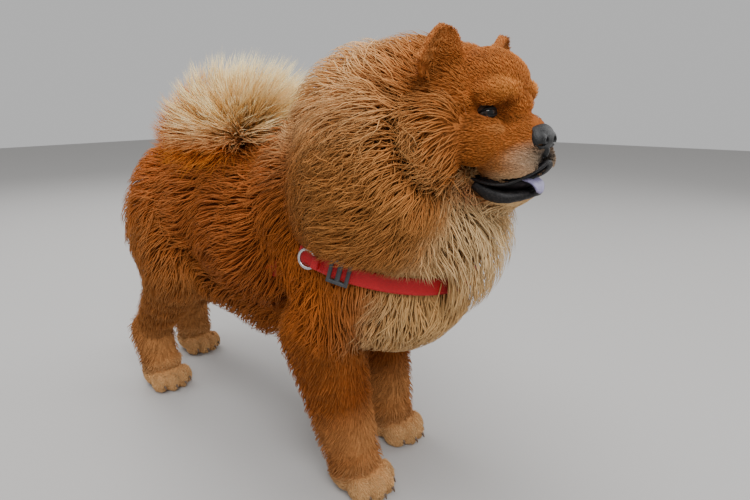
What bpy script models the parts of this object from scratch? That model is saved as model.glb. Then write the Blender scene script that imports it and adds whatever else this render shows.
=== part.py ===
"""A standing chow chow, life size, in a web harness: one named solid for each part of the body.

The dog faces -Y, its left side is +X and the floor is Z = 0. Sizes are in metres.
"""
import math
import random
from collections import namedtuple

import bpy
import bmesh
from mathutils import Euler, Matrix, Vector
from mathutils.bvhtree import BVHTree

# Driving dimensions
FRAME_SHIFT = Vector((0, 0.0705, 0))
GAP = 0.0003
SEED = 13
LOCK_SINK = 0.012
LOCK_RIDGE = 0.22
LOCK_STEPS = (0.0, 0.36, 0.70, 1.0)
LOCK_WIDTHS = (0.75, 1.0, 0.72)
LEAST_TURN = 0.75
TAIL_BONE = 0.026
PLUME_ROWS = 5
PLUME_ACROSS = 4
PLUME_SPREAD = 92
PLUME_WIDTH = 0.090

# Spacing, length and width of the locks
HEAD_LOCK = (0.038, 0.095, 0.062)
RUFF_LOCK = (0.053, 0.130, 0.084)
BODY_LOCK = (0.094, 0.150, 0.108)
LEG_LOCK = (0.060, 0.110, 0.074)
CORE_SHARE = 0.50
SHORT_COAT = 0.024
EYE = Vector((0.037, -0.451, 0.541))
EYE_FACING = Vector((0.42, -0.90, 0.05)).normalized()
EYE_RADIUS = 0.0110
EAR_BASE = Vector((0.066, -0.402, 0.586))
EAR_HEIGHT = 0.056
EAR_HALF_WIDTH = 0.027
EAR_DEPTH = 0.017
MOUTH_CORNER = Vector((0.045, -0.440, 0.469))
THROAT_Y = -0.397
UPPER_LIP_RISE = 0.10
LOWER_LIP_FALL = 0.10
ELBOW_HEIGHT = 0.235
CARPUS_HEIGHT = 0.090
STIFLE_HEIGHT = 0.260
HOCK_HEIGHT = 0.115
PAW_TOP = 0.052
WEB_WIDTH = 0.022
WEB_THICKNESS = 0.0026
RING_RADIUS = 0.012
RING_WIRE = 0.0020
KEEPER_LENGTH = 0.010
KEEPER_HEIGHT = 0.0085
SLIDER_STEP = 2
SLIDER_HALF_LONG = 0.0140
SLIDER_HALF_WIDE = 0.0160
SLIDER_HALF_THICK = 0.0016
GROOVE_HEADROOM = 0.010
GIRTH_SIDE = -0.240
GIRTH_BELLY = 0.125
GIRTH_BACK = 0.085

# Planes that part the nodes
HEAD_BACK = -0.385
NECK_PLANE = (Vector((0, -0.460, 0.400)), Vector((0, -0.447, 0.894)))
FORE_CELL = (-0.520, -0.085, 0.205, 0.80)
HIND_CELL = (0.035, 0.520, 0.225, 0.90)
CELL_INNER = 0.025

# Each leg's paw on the floor: the near side of the photo is the right, at -X
Leg = namedtuple("Leg", "name side paw_x paw_y")
FORE_LEGS = (Leg("right", -1, -0.070, -0.288), Leg("left", 1, 0.070, -0.247))
HIND_LEGS = (Leg("right", -1, -0.070, 0.221), Leg("left", 1, 0.070, 0.315))

# An ellipsoid out to the tips of the coat, the depth of the coat and the way it lies
Mass = namedtuple("Mass", "centre radii coat lie")


# Words in the names of the nodes, with their colour, roughness and metallic value
FINISHES = {
    "torso hind_leg fore_leg neck head ear_": ((0.46, 0.17, 0.05), 0.85, 0.0),
    "paw": ((0.55, 0.26, 0.10), 0.85, 0.0),
    "tail": ((0.78, 0.60, 0.38), 0.85, 0.0),
    "lower_jaw": ((0.30, 0.14, 0.07), 0.80, 0.0),
    "nose": ((0.02, 0.02, 0.022), 0.45, 0.0),
    "tongue": ((0.30, 0.28, 0.40), 0.40, 0.0),
    "eye": ((0.015, 0.010, 0.008), 0.08, 0.0),
    "strap": ((0.55, 0.01, 0.02), 0.70, 0.0),
    "ring": ((0.70, 0.70, 0.70), 0.25, 1.0),
    "slider": ((0.05, 0.05, 0.055), 0.50, 0.0),
}


def clear_scene():
    for obj in list(bpy.data.objects):
        bpy.data.objects.remove(obj)


def new_object(name, bm):
    mesh = bpy.data.meshes.new(name)
    bm.to_mesh(mesh)
    bm.free()
    obj = bpy.data.objects.new(name, mesh)
    bpy.context.scene.collection.objects.link(obj)
    return obj


def apply_modifiers(obj):
    graph = bpy.context.evaluated_depsgraph_get()
    mesh = bpy.data.meshes.new_from_object(obj.evaluated_get(graph))
    obj.modifiers.clear()
    old = obj.data
    obj.data = mesh
    bpy.data.meshes.remove(old)


def keep_largest(obj):
    """Keep only the closed surface of the largest volume."""
    bm = bmesh.new()
    bm.from_mesh(obj.data)
    unseen = set(bm.faces)
    shells = []
    while unseen:
        stack = [unseen.pop()]
        shell = list(stack)
        while stack:
            for edge in stack.pop().edges:
                for face in edge.link_faces:
                    if face in unseen:
                        unseen.remove(face)
                        stack.append(face)
                        shell.append(face)
        volume = sum(f.calc_area() * f.normal.dot(f.calc_center_median()) for f in shell)
        shells.append((volume, shell))
    shells.sort(key=lambda item: -item[0])
    for _, shell in shells[1:]:
        bmesh.ops.delete(bm, geom=shell, context="FACES")
    bm.to_mesh(obj.data)
    bm.free()


def boolean(obj, operation, others, solver="MANIFOLD"):
    """Apply one Boolean with a collection of closed objects, which are then removed.

    Every shape here is a closed mesh. The MANIFOLD solver fuses the thousands of locks on
    one limb in a single step, which the EXACT solver was not tried on.
    """
    pieces = bpy.data.collections.new("pieces")
    bpy.context.scene.collection.children.link(pieces)
    for other in others:
        pieces.objects.link(other)
    modifier = obj.modifiers.new("boolean", "BOOLEAN")
    modifier.operation = operation
    modifier.operand_type = "COLLECTION"
    modifier.collection = pieces
    modifier.solver = solver
    apply_modifiers(obj)
    for other in others:
        bpy.data.objects.remove(other)
    bpy.data.collections.remove(pieces)
    keep_largest(obj)
    return obj


def cut_by(obj, *cutters):
    """Cut an object by one closed shape after another, and keep the shapes."""
    for cutter in cutters:
        boolean(obj, "DIFFERENCE", [copy_of(cutter)])
    return obj


def copy_of(obj, name="copy"):
    twin = obj.copy()
    twin.data = obj.data.copy()
    twin.name = name
    bpy.context.scene.collection.objects.link(twin)
    return twin


def grown(obj, by=GAP):
    """A copy whose surface lies outside the first one by the gap."""
    twin = copy_of(obj)
    swell = twin.modifiers.new("swell", "DISPLACE")
    swell.strength = 1.3 * by
    swell.mid_level = 0.0
    apply_modifiers(twin)
    return twin


def both_sides(*masses):
    """The masses and their twins across the middle of the body."""
    twins = [Mass((-m.centre[0], *m.centre[1:]), m.radii, m.coat, (-m.lie[0], *m.lie[1:])) for m in masses]
    return list(masses) + twins


def limb(start, end, start_radius, end_radius, coat, lie, steps=5):
    """Balls along one bone, close enough to fuse."""
    masses = []
    for i in range(steps + 1):
        t = i / steps
        radius = start_radius + (end_radius - start_radius) * t
        masses.append(Mass(tuple(Vector(start).lerp(Vector(end), t)), (radius,) * 3, coat, lie))
    return masses


TRUNK = [
    Mass((0, -0.090, 0.360), (0.148, 0.200, 0.148), 0.055, (0, 1, -0.6)),
    Mass((0, -0.180, 0.420), (0.125, 0.130, 0.105), 0.055, (0, 1, -0.4)),
    Mass((0, 0.055, 0.385), (0.134, 0.150, 0.122), 0.055, (0, 1, -0.5)),
    Mass((0, 0.145, 0.388), (0.130, 0.122, 0.116), 0.055, (0, 1, -0.6)),
    Mass((0, -0.010, 0.270), (0.112, 0.180, 0.085), 0.060, (0, 0.6, -1)),
    Mass((0, -0.305, 0.330), (0.135, 0.115, 0.125), 0.040, (0, 0.2, -1)),
]
BREECHES = both_sides(
    Mass((0.055, 0.205, 0.330), (0.068, 0.080, 0.115), 0.065, (0.1, 0.6, -1)),
)
NECK = [
    Mass((0, -0.262, 0.490), (0.140, 0.105, 0.132), 0.075, (0, 1, -0.1)),
    Mass((0, -0.330, 0.515), (0.138, 0.090, 0.115), 0.075, (0, 0.9, 0.2)),
    Mass((0, -0.350, 0.385), (0.140, 0.118, 0.130), 0.095, (0, -0.1, -1)),
    Mass((0, -0.350, 0.515), (0.075, 0.060, 0.070), 0.005, (0, 1, 0)),
] + both_sides(
    Mass((0.080, -0.325, 0.450), (0.115, 0.108, 0.140), 0.105, (0.4, 0.5, -0.8)),
)
HEAD = [
    Mass((0, -0.370, 0.553), (0.092, 0.082, 0.080), 0.030, (0, 1, 0)),
    Mass((0, -0.432, 0.572), (0.060, 0.053, 0.048), 0.010, (0, 1, 0.3)),
    Mass((0, -0.400, 0.560), (0.080, 0.060, 0.064), 0.012, (0, 1, 0.3)),
    Mass((0, -0.458, 0.548), (0.026, 0.031, 0.022), 0.006, (0, 1, 0.3)),
    Mass((0, -0.466, 0.506), (0.048, 0.046, 0.033), 0.006, (0, 1, 0)),
    Mass((0, -0.468, 0.530), (0.028, 0.042, 0.016), 0.004, (0, 1, 0)),
    Mass((0, -0.448, 0.450), (0.037, 0.050, 0.024), 0.008, (0, 1, -0.5)),
    Mass((0, -0.482, 0.453), (0.027, 0.021, 0.014), 0.006, (0, 1, -0.5)),
    Mass((0, -0.385, 0.460), (0.065, 0.060, 0.055), 0.040, (0, 0.3, -1)),
] + both_sides(
    Mass((0.031, -0.454, 0.565), (0.028, 0.025, 0.017), 0.006, (0.3, 1, 0)),
    Mass((0.066, -0.400, 0.512), (0.052, 0.058, 0.060), 0.030, (0.7, 0.8, -0.3)),
    Mass((0.044, -0.447, 0.512), (0.031, 0.032, 0.031), 0.008, (0.7, 0.8, 0)),
    Mass((0.025, -0.474, 0.487), (0.026, 0.037, 0.024), 0.005, (0.5, 0.8, 0)),
)
NOSE = [
    Mass((0, -0.502, 0.519), (0.024, 0.013, 0.016), 0, (0, 0, 1)),
    Mass((0, -0.499, 0.526), (0.020, 0.014, 0.009), 0, (0, 0, 1)),
    Mass((0, -0.506, 0.505), (0.006, 0.007, 0.009), 0, (0, 0, 1)),
] + both_sides(
    Mass((0.0140, -0.503, 0.517), (0.0115, 0.0115, 0.0115), 0, (0, 0, 1)),
)
TAIL = (
    limb((0, 0.172, 0.420), (0, 0.165, 0.462), 0.060, 0.060, 0.040, (0, 1, 0.4), 3)
    + limb((0, 0.160, 0.470), (0, 0.110, 0.492), 0.080, 0.112, 0.070, (0, 0.6, 0.8), 4)
    + limb((0, 0.110, 0.492), (-0.010, 0.010, 0.494), 0.112, 0.126, 0.085, (0, -0.3, 1), 4)
    + limb((-0.010, 0.010, 0.494), (-0.025, -0.080, 0.492), 0.126, 0.100, 0.080, (-0.2, -1, 0.3), 4)
)


def fore_leg_masses(leg):
    s = leg.side
    elbow = Vector((0.085 * s, leg.paw_y + 0.052, ELBOW_HEIGHT))
    shoulder = Vector((0.080 * s, -0.300, 0.350))
    carpus = Vector((leg.paw_x + 0.006 * s, leg.paw_y + 0.018, CARPUS_HEIGHT))
    ankle = Vector((leg.paw_x, leg.paw_y + 0.006, 0.038))
    down = (0.1 * s, 0.5, -1)
    masses = limb(shoulder, elbow, 0.072, 0.062, 0.040, down)
    masses += [Mass((0.075 * s, -0.250, 0.370), (0.068, 0.095, 0.105), 0.022, down)]
    masses += limb(elbow, carpus, 0.060, 0.043, 0.024, down)
    masses += limb(carpus, ankle, 0.042, 0.037, 0.010, down, 3)
    behind = Vector((0, 0.034, 0))
    masses += limb(elbow + behind, carpus + behind * 0.7, 0.044, 0.026, 0.036, (0, 0.7, -1), 4)
    return masses


def hind_leg_masses(leg):
    s = leg.side
    hip = Vector((0.068 * s, 0.145, 0.360))
    stifle = Vector((0.080 * s, 0.115 + 0.3 * (leg.paw_y - 0.22), STIFLE_HEIGHT))
    hock = Vector((leg.paw_x + 0.006 * s, leg.paw_y + 0.020, HOCK_HEIGHT))
    ankle = Vector((leg.paw_x, leg.paw_y + 0.008, 0.038))
    down = (0.1 * s, 0.5, -1)
    masses = [Mass((0.070 * s, 0.135, 0.310), (0.074, 0.096, 0.115), 0.050, down)]
    masses += limb(hip, stifle, 0.076, 0.068, 0.040, down)
    masses += limb(stifle, hock, 0.066, 0.041, 0.025, down)
    masses += limb(hock, ankle, 0.039, 0.035, 0.010, down, 3)
    return masses


def paw_masses(leg):
    """The round foot and its four toes, flat on the floor."""
    x, y = leg.paw_x, leg.paw_y
    ahead = (0, 1, 0)
    masses = [Mass((x, y + 0.004, 0.024), (0.037, 0.040, 0.028), 0.006, ahead),
              Mass((x, y + 0.006, 0.050), (0.036, 0.036, 0.020), 0.006, ahead)]
    for i, across in enumerate((-0.0275, -0.0097, 0.0097, 0.0275)):
        reach = 0.024 if i in (0, 3) else 0.036
        masses.append(Mass((x + across, y - reach, 0.018), (0.0118, 0.020, 0.019), 0.004, ahead))
    return masses


def ball(name, centre, radii, segments=12, rings=8):
    bm = bmesh.new()
    place = Matrix.LocRotScale(Vector(centre), Euler((0, 0, 0)), Vector(radii))
    bmesh.ops.create_uvsphere(bm, u_segments=segments, v_segments=rings, radius=1.0, matrix=place)
    return new_object(name, bm)


def blob(name, masses, voxel, smooth, triangles, share=1.0):
    """One closed surface round the masses, drawn in to a share of the coat where that is long."""
    bm = bmesh.new()
    for mass in masses:
        bare = (1 - share) * mass.coat if mass.coat > SHORT_COAT else 0.0
        radii = [r - bare for r in mass.radii]
        place = Matrix.LocRotScale(Vector(mass.centre), Euler((0, 0, 0)), Vector(radii))
        bmesh.ops.create_icosphere(bm, subdivisions=3, radius=1.0, matrix=place)
    obj = new_object(name, bm)
    fuse = obj.modifiers.new("fuse", "REMESH")
    fuse.mode = "VOXEL"
    fuse.voxel_size = voxel
    soften = obj.modifiers.new("soften", "SMOOTH")
    soften.factor = 0.5
    soften.iterations = smooth
    apply_modifiers(obj)
    obj.data.calc_loop_triangles()
    thin = obj.modifiers.new("thin", "DECIMATE")
    thin.ratio = min(1.0, triangles / len(obj.data.loop_triangles))
    apply_modifiers(obj)
    keep_largest(obj)
    return obj


def prism(name, outline, axis, low, high):
    """A flat outline drawn out along the X or Y axis."""
    bm = bmesh.new()
    ends = []
    for level in (low, high):
        if axis == "X":
            ends.append([bm.verts.new((level, a, b)) for a, b in outline])
        else:
            ends.append([bm.verts.new((a, level, b)) for a, b in outline])
    bm.faces.new(ends[0])
    bm.faces.new(ends[1])
    for i in range(len(outline)):
        j = (i + 1) % len(outline)
        bm.faces.new((ends[0][i], ends[0][j], ends[1][j], ends[1][i]))
    bmesh.ops.recalc_face_normals(bm, faces=bm.faces)
    return new_object(name, bm)


def half_space(point, normal, size=1.6):
    """A large block on the side of a plane that its normal points to."""
    bm = bmesh.new()
    turn = Vector((0, 0, 1)).rotation_difference(normal).to_matrix().to_4x4()
    place = Matrix.Translation(point + normal * size / 2) @ turn @ Matrix.Diagonal((size, size, size, 1))
    bmesh.ops.create_cube(bm, size=1.0, matrix=place)
    return new_object("block", bm)


def join_rings(bm, rings, closed):
    """Skin a tube of triangles over rings of equal count."""
    rows = [[bm.verts.new(p) for p in ring] for ring in rings]
    count = len(rows[0])
    last = len(rows) if closed else len(rows) - 1
    for k in range(last):
        a, b = rows[k], rows[(k + 1) % len(rows)]
        for i in range(count):
            j = (i + 1) % count
            bm.faces.new((a[i], a[j], b[j]))
            bm.faces.new((a[i], b[j], b[i]))
    return rows


def rings_to_mesh(name, rings):
    """A tube over rings, each end closed by one face."""
    bm = bmesh.new()
    rows = join_rings(bm, rings, False)
    bm.faces.new(rows[0])
    bm.faces.new(rows[-1])
    bmesh.ops.recalc_face_normals(bm, faces=bm.faces)
    return new_object(name, bm)


def loop_to_mesh(name, rings):
    """A tube over rings, the last joined to the first."""
    bm = bmesh.new()
    join_rings(bm, rings, True)
    bmesh.ops.recalc_face_normals(bm, faces=bm.faces)
    return new_object(name, bm)


def tube(name, points, widths, heights, sides=8):
    """A bent rod of elliptical section along points."""
    rings = []
    for k, p in enumerate(points):
        ahead = (points[min(k + 1, len(points) - 1)] - points[max(k - 1, 0)]).normalized()
        across = ahead.cross(Vector((0, 0, 1)))
        if across.length < 0.2:
            across = ahead.cross(Vector((0, -1, 0)))
        across.normalize()
        up = across.cross(ahead)
        ring = []
        for i in range(sides):
            angle = 2 * math.pi * i / sides
            ring.append(p + across * widths[k] * math.cos(angle) + up * heights[k] * math.sin(angle))
        rings.append(ring)
    return rings_to_mesh(name, rings)


def leg_cell(leg, cell, grow=0.0):
    """The wedge of space that belongs to a leg, from the armpit or groin outward."""
    y_low, y_high, height, slope = cell
    x_in = CELL_INNER - grow
    x_out = 0.30
    lift = grow * math.hypot(1, slope)
    top_in = height + lift
    top_out = height + slope * (x_out - CELL_INNER) + lift
    s = leg.side
    outline = [(s * x_in, -0.05), (s * x_out, -0.05), (s * x_out, top_out), (s * x_in, top_in)]
    return prism("cell", outline, "Y", y_low - grow, y_high + grow)


def lid(side, name, rise):
    """One eyelid: a thin roll from corner to corner of the eye."""
    centre = Vector((EYE.x * side, EYE.y, EYE.z))
    facing = Vector((EYE_FACING.x * side, EYE_FACING.y, EYE_FACING.z))
    across = facing.cross(Vector((0, 0, 1))).normalized()
    up = across.cross(facing)
    points = []
    for i in range(5):
        angle = math.pi * i / 4
        spread = math.cos(angle) * EYE_RADIUS * 0.98
        height = math.sin(angle) * EYE_RADIUS * rise + 0.0010 * math.cos(angle)
        depth = math.sqrt(max(0.0, 1 - (spread ** 2 + height ** 2) / (1.02 * EYE_RADIUS) ** 2))
        points.append(centre + across * spread + up * height + facing * EYE_RADIUS * max(depth, 0.35))
    return tube(name, points, [0.0024] * 5, [0.0024] * 5, 4)


def make_ear(side):
    """A thick rounded ear with its cup to the front."""
    name = "ear_left" if side > 0 else "ear_right"
    up = Vector((0.14 * side, -0.10, 1)).normalized()
    front = Vector((0.30 * side, -1, -0.1))
    front = (front - up * front.dot(up)).normalized()
    across = up.cross(front)
    base = Vector((EAR_BASE.x * side, EAR_BASE.y, EAR_BASE.z))
    columns, rows = 7, 6
    back_sheet, front_sheet = [], []
    for r in range(rows):
        v = 0.99 * math.sin(0.5 * math.pi * r / (rows - 1))
        half = EAR_HALF_WIDTH * math.sqrt(1 - v ** 2.2)
        backs, fronts = [], []
        for c in range(columns):
            u = -1 + 2 * c / (columns - 1)
            height = EAR_HEIGHT * v
            bulge = -EAR_DEPTH * (1 - u * u) * (1 - 0.55 * v)
            p = base + across * half * u + up * height
            backs.append(p + front * bulge)
            fronts.append(p + front * (bulge + 0.0045 + 0.002 * (1 - u * u)))
        back_sheet.append(backs)
        front_sheet.append(fronts)
    bm = bmesh.new()
    back = [[bm.verts.new(p) for p in row] for row in back_sheet]
    fore = [[bm.verts.new(p) for p in row] for row in front_sheet]
    for r in range(rows - 1):
        for c in range(columns - 1):
            bm.faces.new((back[r][c], back[r][c + 1], back[r + 1][c + 1], back[r + 1][c]))
            bm.faces.new((fore[r][c], fore[r + 1][c], fore[r + 1][c + 1], fore[r][c + 1]))
    rim = [(0, c) for c in range(columns)] + [(r, columns - 1) for r in range(1, rows)]
    rim += [(rows - 1, c) for c in range(columns - 2, -1, -1)] + [(r, 0) for r in range(rows - 2, 0, -1)]
    for k, (r, c) in enumerate(rim):
        r2, c2 = rim[(k + 1) % len(rim)]
        bm.faces.new((back[r][c], back[r2][c2], fore[r2][c2], fore[r][c]))
    bmesh.ops.recalc_face_normals(bm, faces=bm.faces)
    bmesh.ops.triangulate(bm, faces=bm.faces)
    return new_object(name, bm)


def make_nose():
    nose = blob("nose", NOSE, 0.002, 1, 220)
    cuts = []
    for side in (-1, 1):
        cuts.append(ball("nostril", (0.0110 * side, -0.5150, 0.5165), (0.0044, 0.0070, 0.0046), 6, 5))
        cuts.append(ball("slit", (0.0185 * side, -0.5120, 0.5130), (0.0065, 0.0050, 0.0016), 6, 4))
    return boolean(nose, "DIFFERENCE", cuts)


def make_tongue():
    points = [Vector((0, -0.454, 0.4660)), Vector((0, -0.478, 0.4680)), Vector((0, -0.498, 0.4680)),
              Vector((0, -0.5085, 0.4640)), Vector((0, -0.5130, 0.4560))]
    half_widths = [0.015, 0.018, 0.018, 0.016, 0.007]
    half_heights = [0.0022, 0.0026, 0.0028, 0.0028, 0.0022]
    return tube("tongue", points, half_widths, half_heights, 10)


def make_head(nose, tongue, ears):
    """The head and the lower jaw, parted along the open mouth."""
    face = blob("head", HEAD, 0.003, 4, 1450, CORE_SHARE)
    lips = []
    steps = 9
    for i in range(steps):
        turn = math.pi * i / (steps - 1)
        reach = math.sin(turn) ** 0.8
        y = MOUTH_CORNER.y - 0.066 * reach
        z = MOUTH_CORNER.z - (y - MOUTH_CORNER.y) * 0.03
        lips.append(Vector((MOUTH_CORNER.x * math.cos(turn), y, z)))
    pocket = grown(face, 2 * GAP)
    boolean(pocket, "DIFFERENCE", [half_space(Vector((0, HEAD_BACK + GAP, 0.5)), Vector((0, 1, 0)))])
    orbits = []
    for side in (-1, 1):
        ahead = Vector((EYE_FACING.x * side, EYE_FACING.y, EYE_FACING.z)) * EYE_RADIUS
        centre = Vector((EYE.x * side, EYE.y, EYE.z)) + ahead
        orbits.append(ball("orbit", centre, (EYE_RADIUS * 1.05, EYE_RADIUS * 1.3, EYE_RADIUS * 0.66)))
    boolean(face, "DIFFERENCE", orbits)
    rolls = [tube("lips", lips, [0.0065] * steps, [0.0075] * steps, 8)]
    longer = list(lips)
    longer[0] = lips[0] + (lips[0] - lips[1]).normalized() * 4 * GAP
    longer[-1] = lips[-1] + (lips[-1] - lips[-2]).normalized() * 4 * GAP
    lip_pocket = tube("lip_pocket", longer, [0.0078] * steps, [0.0088] * steps, 8)
    for side in (-1, 1):
        rolls.append(lid(side, "upper_lid", 0.62))
        rolls.append(lid(side, "lower_lid", -0.48))
    boolean(face, "UNION", rolls)
    corner_y, corner_z = MOUTH_CORNER.y, MOUTH_CORNER.z
    reach = 0.16
    upper_z = corner_z + reach * UPPER_LIP_RISE
    lower_z = corner_z - reach * LOWER_LIP_FALL
    floor_z = 0.370
    jaw_cell = [(corner_y, corner_z), (corner_y - reach, lower_z), (corner_y - reach, floor_z),
                (THROAT_Y, floor_z)]
    cuts = []
    for gap in (2 * GAP, 1.5 * GAP):
        mouth_cell = [(corner_y + gap, corner_z), (corner_y, corner_z + gap), (corner_y - reach, upper_z),
                      (corner_y - reach, floor_z), (THROAT_Y + gap, floor_z)]
        cuts.append(prism("mouth", mouth_cell, "X", -0.2, 0.2))
    jaw = copy_of(face, "lower_jaw")
    boolean(jaw, "INTERSECT", [prism("cell", jaw_cell, "X", -0.2, 0.2)])
    boolean(face, "DIFFERENCE", [cuts[0], half_space(Vector((0, HEAD_BACK, 0.5)), Vector((0, 1, 0)))])
    sockets = []
    for side in (-1, 1):
        centre = (EYE.x * side, EYE.y, EYE.z)
        name = "eye_left" if side > 0 else "eye_right"
        ball(name, centre, [EYE_RADIUS] * 3, 10, 7)
        sockets.append(ball("socket", centre, [EYE_RADIUS + 2 * GAP] * 3, 10, 7))
    boolean(face, "DIFFERENCE", sockets + [grown(nose)] + [grown(ear) for ear in ears])
    boolean(face, "DIFFERENCE", [grown(tongue)])
    boolean(jaw, "DIFFERENCE", [grown(tongue)])
    return face, cuts[1], [pocket, lip_pocket]


def make_claws(leg):
    claws = []
    for i, across in enumerate((-0.0275, -0.0097, 0.0097, 0.0275)):
        reach = 0.024 if i in (0, 3) else 0.036
        root = Vector((leg.paw_x + across, leg.paw_y - reach - 0.012, 0.0165))
        points = [root, root + Vector((0, -0.008, -0.0015)), root + Vector((0, -0.012, -0.0070))]
        claws.append(tube("claw", points, [0.0030, 0.0026, 0.0006], [0.0034, 0.0030, 0.0007], 4))
    return claws


def make_paw(leg, name):
    paw = blob(name, paw_masses(leg), 0.003, 2, 210)
    boolean(paw, "UNION", make_claws(leg))
    blocks = [half_space(Vector((0, 0, 0)), Vector((0, 0, -1))),
              half_space(Vector((0, 0, PAW_TOP)), Vector((0, 0, 1)))]
    return boolean(paw, "DIFFERENCE", blocks)


def wrap(tree, centre, directions, lift):
    """Points where rays towards the centre first meet the body, drawn smooth."""
    distances = []
    for c, d in zip(centre, directions):
        hit = tree.ray_cast(c + d * 0.6, -d)[0]
        distances.append((hit - c).length)
    for _ in range(3):
        padded = [distances[0]] + distances + [distances[-1]]
        distances = [max(d, (padded[i] + d + padded[i + 2]) / 3) for i, d in enumerate(distances)]
    return [c + d * (r + lift) for c, d, r in zip(centre, directions, distances)]


def strap_rings(points, outward, closed, grow=0.0, headroom=0.0):
    """The four corners of the webbing at each point of its path."""
    rings = []
    count = len(points)
    half = WEB_WIDTH / 2 + grow
    thick = WEB_THICKNESS / 2 + grow
    for k, p in enumerate(points):
        ahead_k = (k + 1) % count if closed else min(k + 1, count - 1)
        behind_k = (k - 1) % count if closed else max(k - 1, 0)
        along = (points[ahead_k] - points[behind_k]).normalized()
        out = outward[k] - along * outward[k].dot(along)
        out.normalize()
        across = along.cross(out)
        top = out * (thick + headroom)
        rings.append([p + across * half + top, p - across * half + top,
                      p - across * half - out * thick, p + across * half - out * thick])
    return rings


def girth_path(tree):
    count = 28
    centres, directions = [], []
    for i in range(count):
        angle = 2 * math.pi * i / count
        rise = math.sin(angle)
        y = GIRTH_SIDE + (GIRTH_BELLY * min(1, -1.6 * rise) if rise < 0 else GIRTH_BACK * rise)
        centres.append(Vector((0, y, 0.365)))
        directions.append(Vector((math.cos(angle), 0, rise)))
    return wrap(tree, centres, directions, WEB_THICKNESS), directions


def chest_path(tree):
    count = 17
    centres, directions = [], []
    for i in range(count):
        angle = math.pi * (1 + i / (count - 1))
        ahead = -math.sin(angle)
        centres.append(Vector((0, -0.262, 0.372 - 0.022 * ahead)))
        directions.append(Vector((math.cos(angle), math.sin(angle), 0)))
    return wrap(tree, centres, directions, WEB_THICKNESS), directions


def ring_at(name, centre, out, radius=RING_RADIUS, wire=RING_WIRE):
    """A welded ring lying flat against the body."""
    side = out.cross(Vector((0, 0, 1))).normalized()
    up = side.cross(out)
    rings = []
    for i in range(12):
        angle = 2 * math.pi * i / 12
        spoke = side * math.cos(angle) + up * math.sin(angle)
        middle = centre + spoke * radius
        rings.append([middle + spoke * wire * math.cos(2 * math.pi * k / 4)
                      + out * wire * math.sin(2 * math.pi * k / 4) for k in range(4)])
    return loop_to_mesh(name, rings)


def block(name, centre, along, out, half_long, half_wide, half_thick):
    """A box with its sides along and across a strap."""
    bm = bmesh.new()
    frame = Matrix((along, out.cross(along), out)).transposed().to_4x4()
    size = Matrix.Diagonal((2 * half_long, 2 * half_wide, 2 * half_thick, 1))
    bmesh.ops.create_cube(bm, size=1.0, matrix=Matrix.Translation(centre) @ frame @ size)
    return new_object(name, bm)


def clearance(surface, along, out, half_long, half_wide):
    """Room in the coat over a fitting that lies on a strap."""
    half_thick = GROOVE_HEADROOM
    return block("groove", surface + out * (half_thick - GAP), along, out, half_long, half_wide, half_thick)


def slider_at(name, centre, along, out):
    """A three-bar slider: a plate with two windows."""
    body = block(name, centre, along, out, SLIDER_HALF_LONG, SLIDER_HALF_WIDE, SLIDER_HALF_THICK)
    windows = []
    window_long, window_wide = 0.29 * SLIDER_HALF_LONG, 0.74 * SLIDER_HALF_WIDE
    for way in (-1, 1):
        middle = centre + along * way * 0.44 * SLIDER_HALF_LONG
        windows.append(block("window", middle, along, out, window_long, window_wide, 0.005))
    return boolean(body, "DIFFERENCE", windows)


def fit_ring(name, strap, points, outward, step, slide):
    """Lay a ring on a strap, fold a keeper of the strap over its wire and return the room it needs."""
    along = (points[step + 1] - points[step - 1]).normalized()
    out = (outward[step] - along * outward[step].dot(along)).normalized()
    surface = points[step] + out * WEB_THICKNESS / 2 + along * slide
    centre = surface + out * (RING_WIRE + GAP)
    ring_at(name, centre, out)
    wire_side = points[step] + along * (slide + RING_RADIUS) + out * (KEEPER_HEIGHT - WEB_THICKNESS) / 2
    fold = block("keeper", wire_side, along, out, KEEPER_LENGTH / 2, 0.4 * WEB_WIDTH, KEEPER_HEIGHT / 2)
    boolean(strap, "UNION", [fold])
    boolean(strap, "DIFFERENCE", [ring_at("cut", centre, out, RING_RADIUS, RING_WIRE + 1.5 * GAP)])
    reach = RING_RADIUS + RING_WIRE + KEEPER_LENGTH / 2
    return clearance(surface, along, out, reach, reach)


def make_harness(tree):
    """Girth strap, chest strap, their rings and the slider, with the grooves they need."""
    girth_points, girth_out = girth_path(tree)
    chest_points, chest_out = chest_path(tree)
    lifted = [p + out * (WEB_THICKNESS + 2 * GAP) for p, out in zip(chest_points, chest_out)]
    girth = loop_to_mesh("girth_strap", strap_rings(girth_points, girth_out, True))
    chest = rings_to_mesh("chest_strap", strap_rings(lifted, chest_out, False))
    grooves = [loop_to_mesh("groove", strap_rings(girth_points, girth_out, True, GAP, GROOVE_HEADROOM)),
               rings_to_mesh("groove", strap_rings(lifted, chest_out, False, GAP, GROOVE_HEADROOM))]
    grooves.append(fit_ring("ring_right", chest, lifted, chest_out, 1, -0.014))
    grooves.append(fit_ring("ring_left", chest, lifted[::-1], chest_out[::-1], 1, -0.014))
    top = len(girth_points) // 4
    grooves.append(fit_ring("lead_ring", girth, girth_points, girth_out, top, -0.012))
    along = (lifted[SLIDER_STEP + 1] - lifted[SLIDER_STEP - 1]).normalized()
    out = (chest_out[SLIDER_STEP] - along * chest_out[SLIDER_STEP].dot(along)).normalized()
    surface = lifted[SLIDER_STEP] + out * (WEB_THICKNESS / 2 + GAP)
    slider_at("slider", surface + out * (SLIDER_HALF_THICK + GAP), along, out)
    grooves.append(clearance(surface, along, out, SLIDER_HALF_LONG + 0.001, SLIDER_HALF_WIDE + 0.001))
    return grooves, lifted


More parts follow.
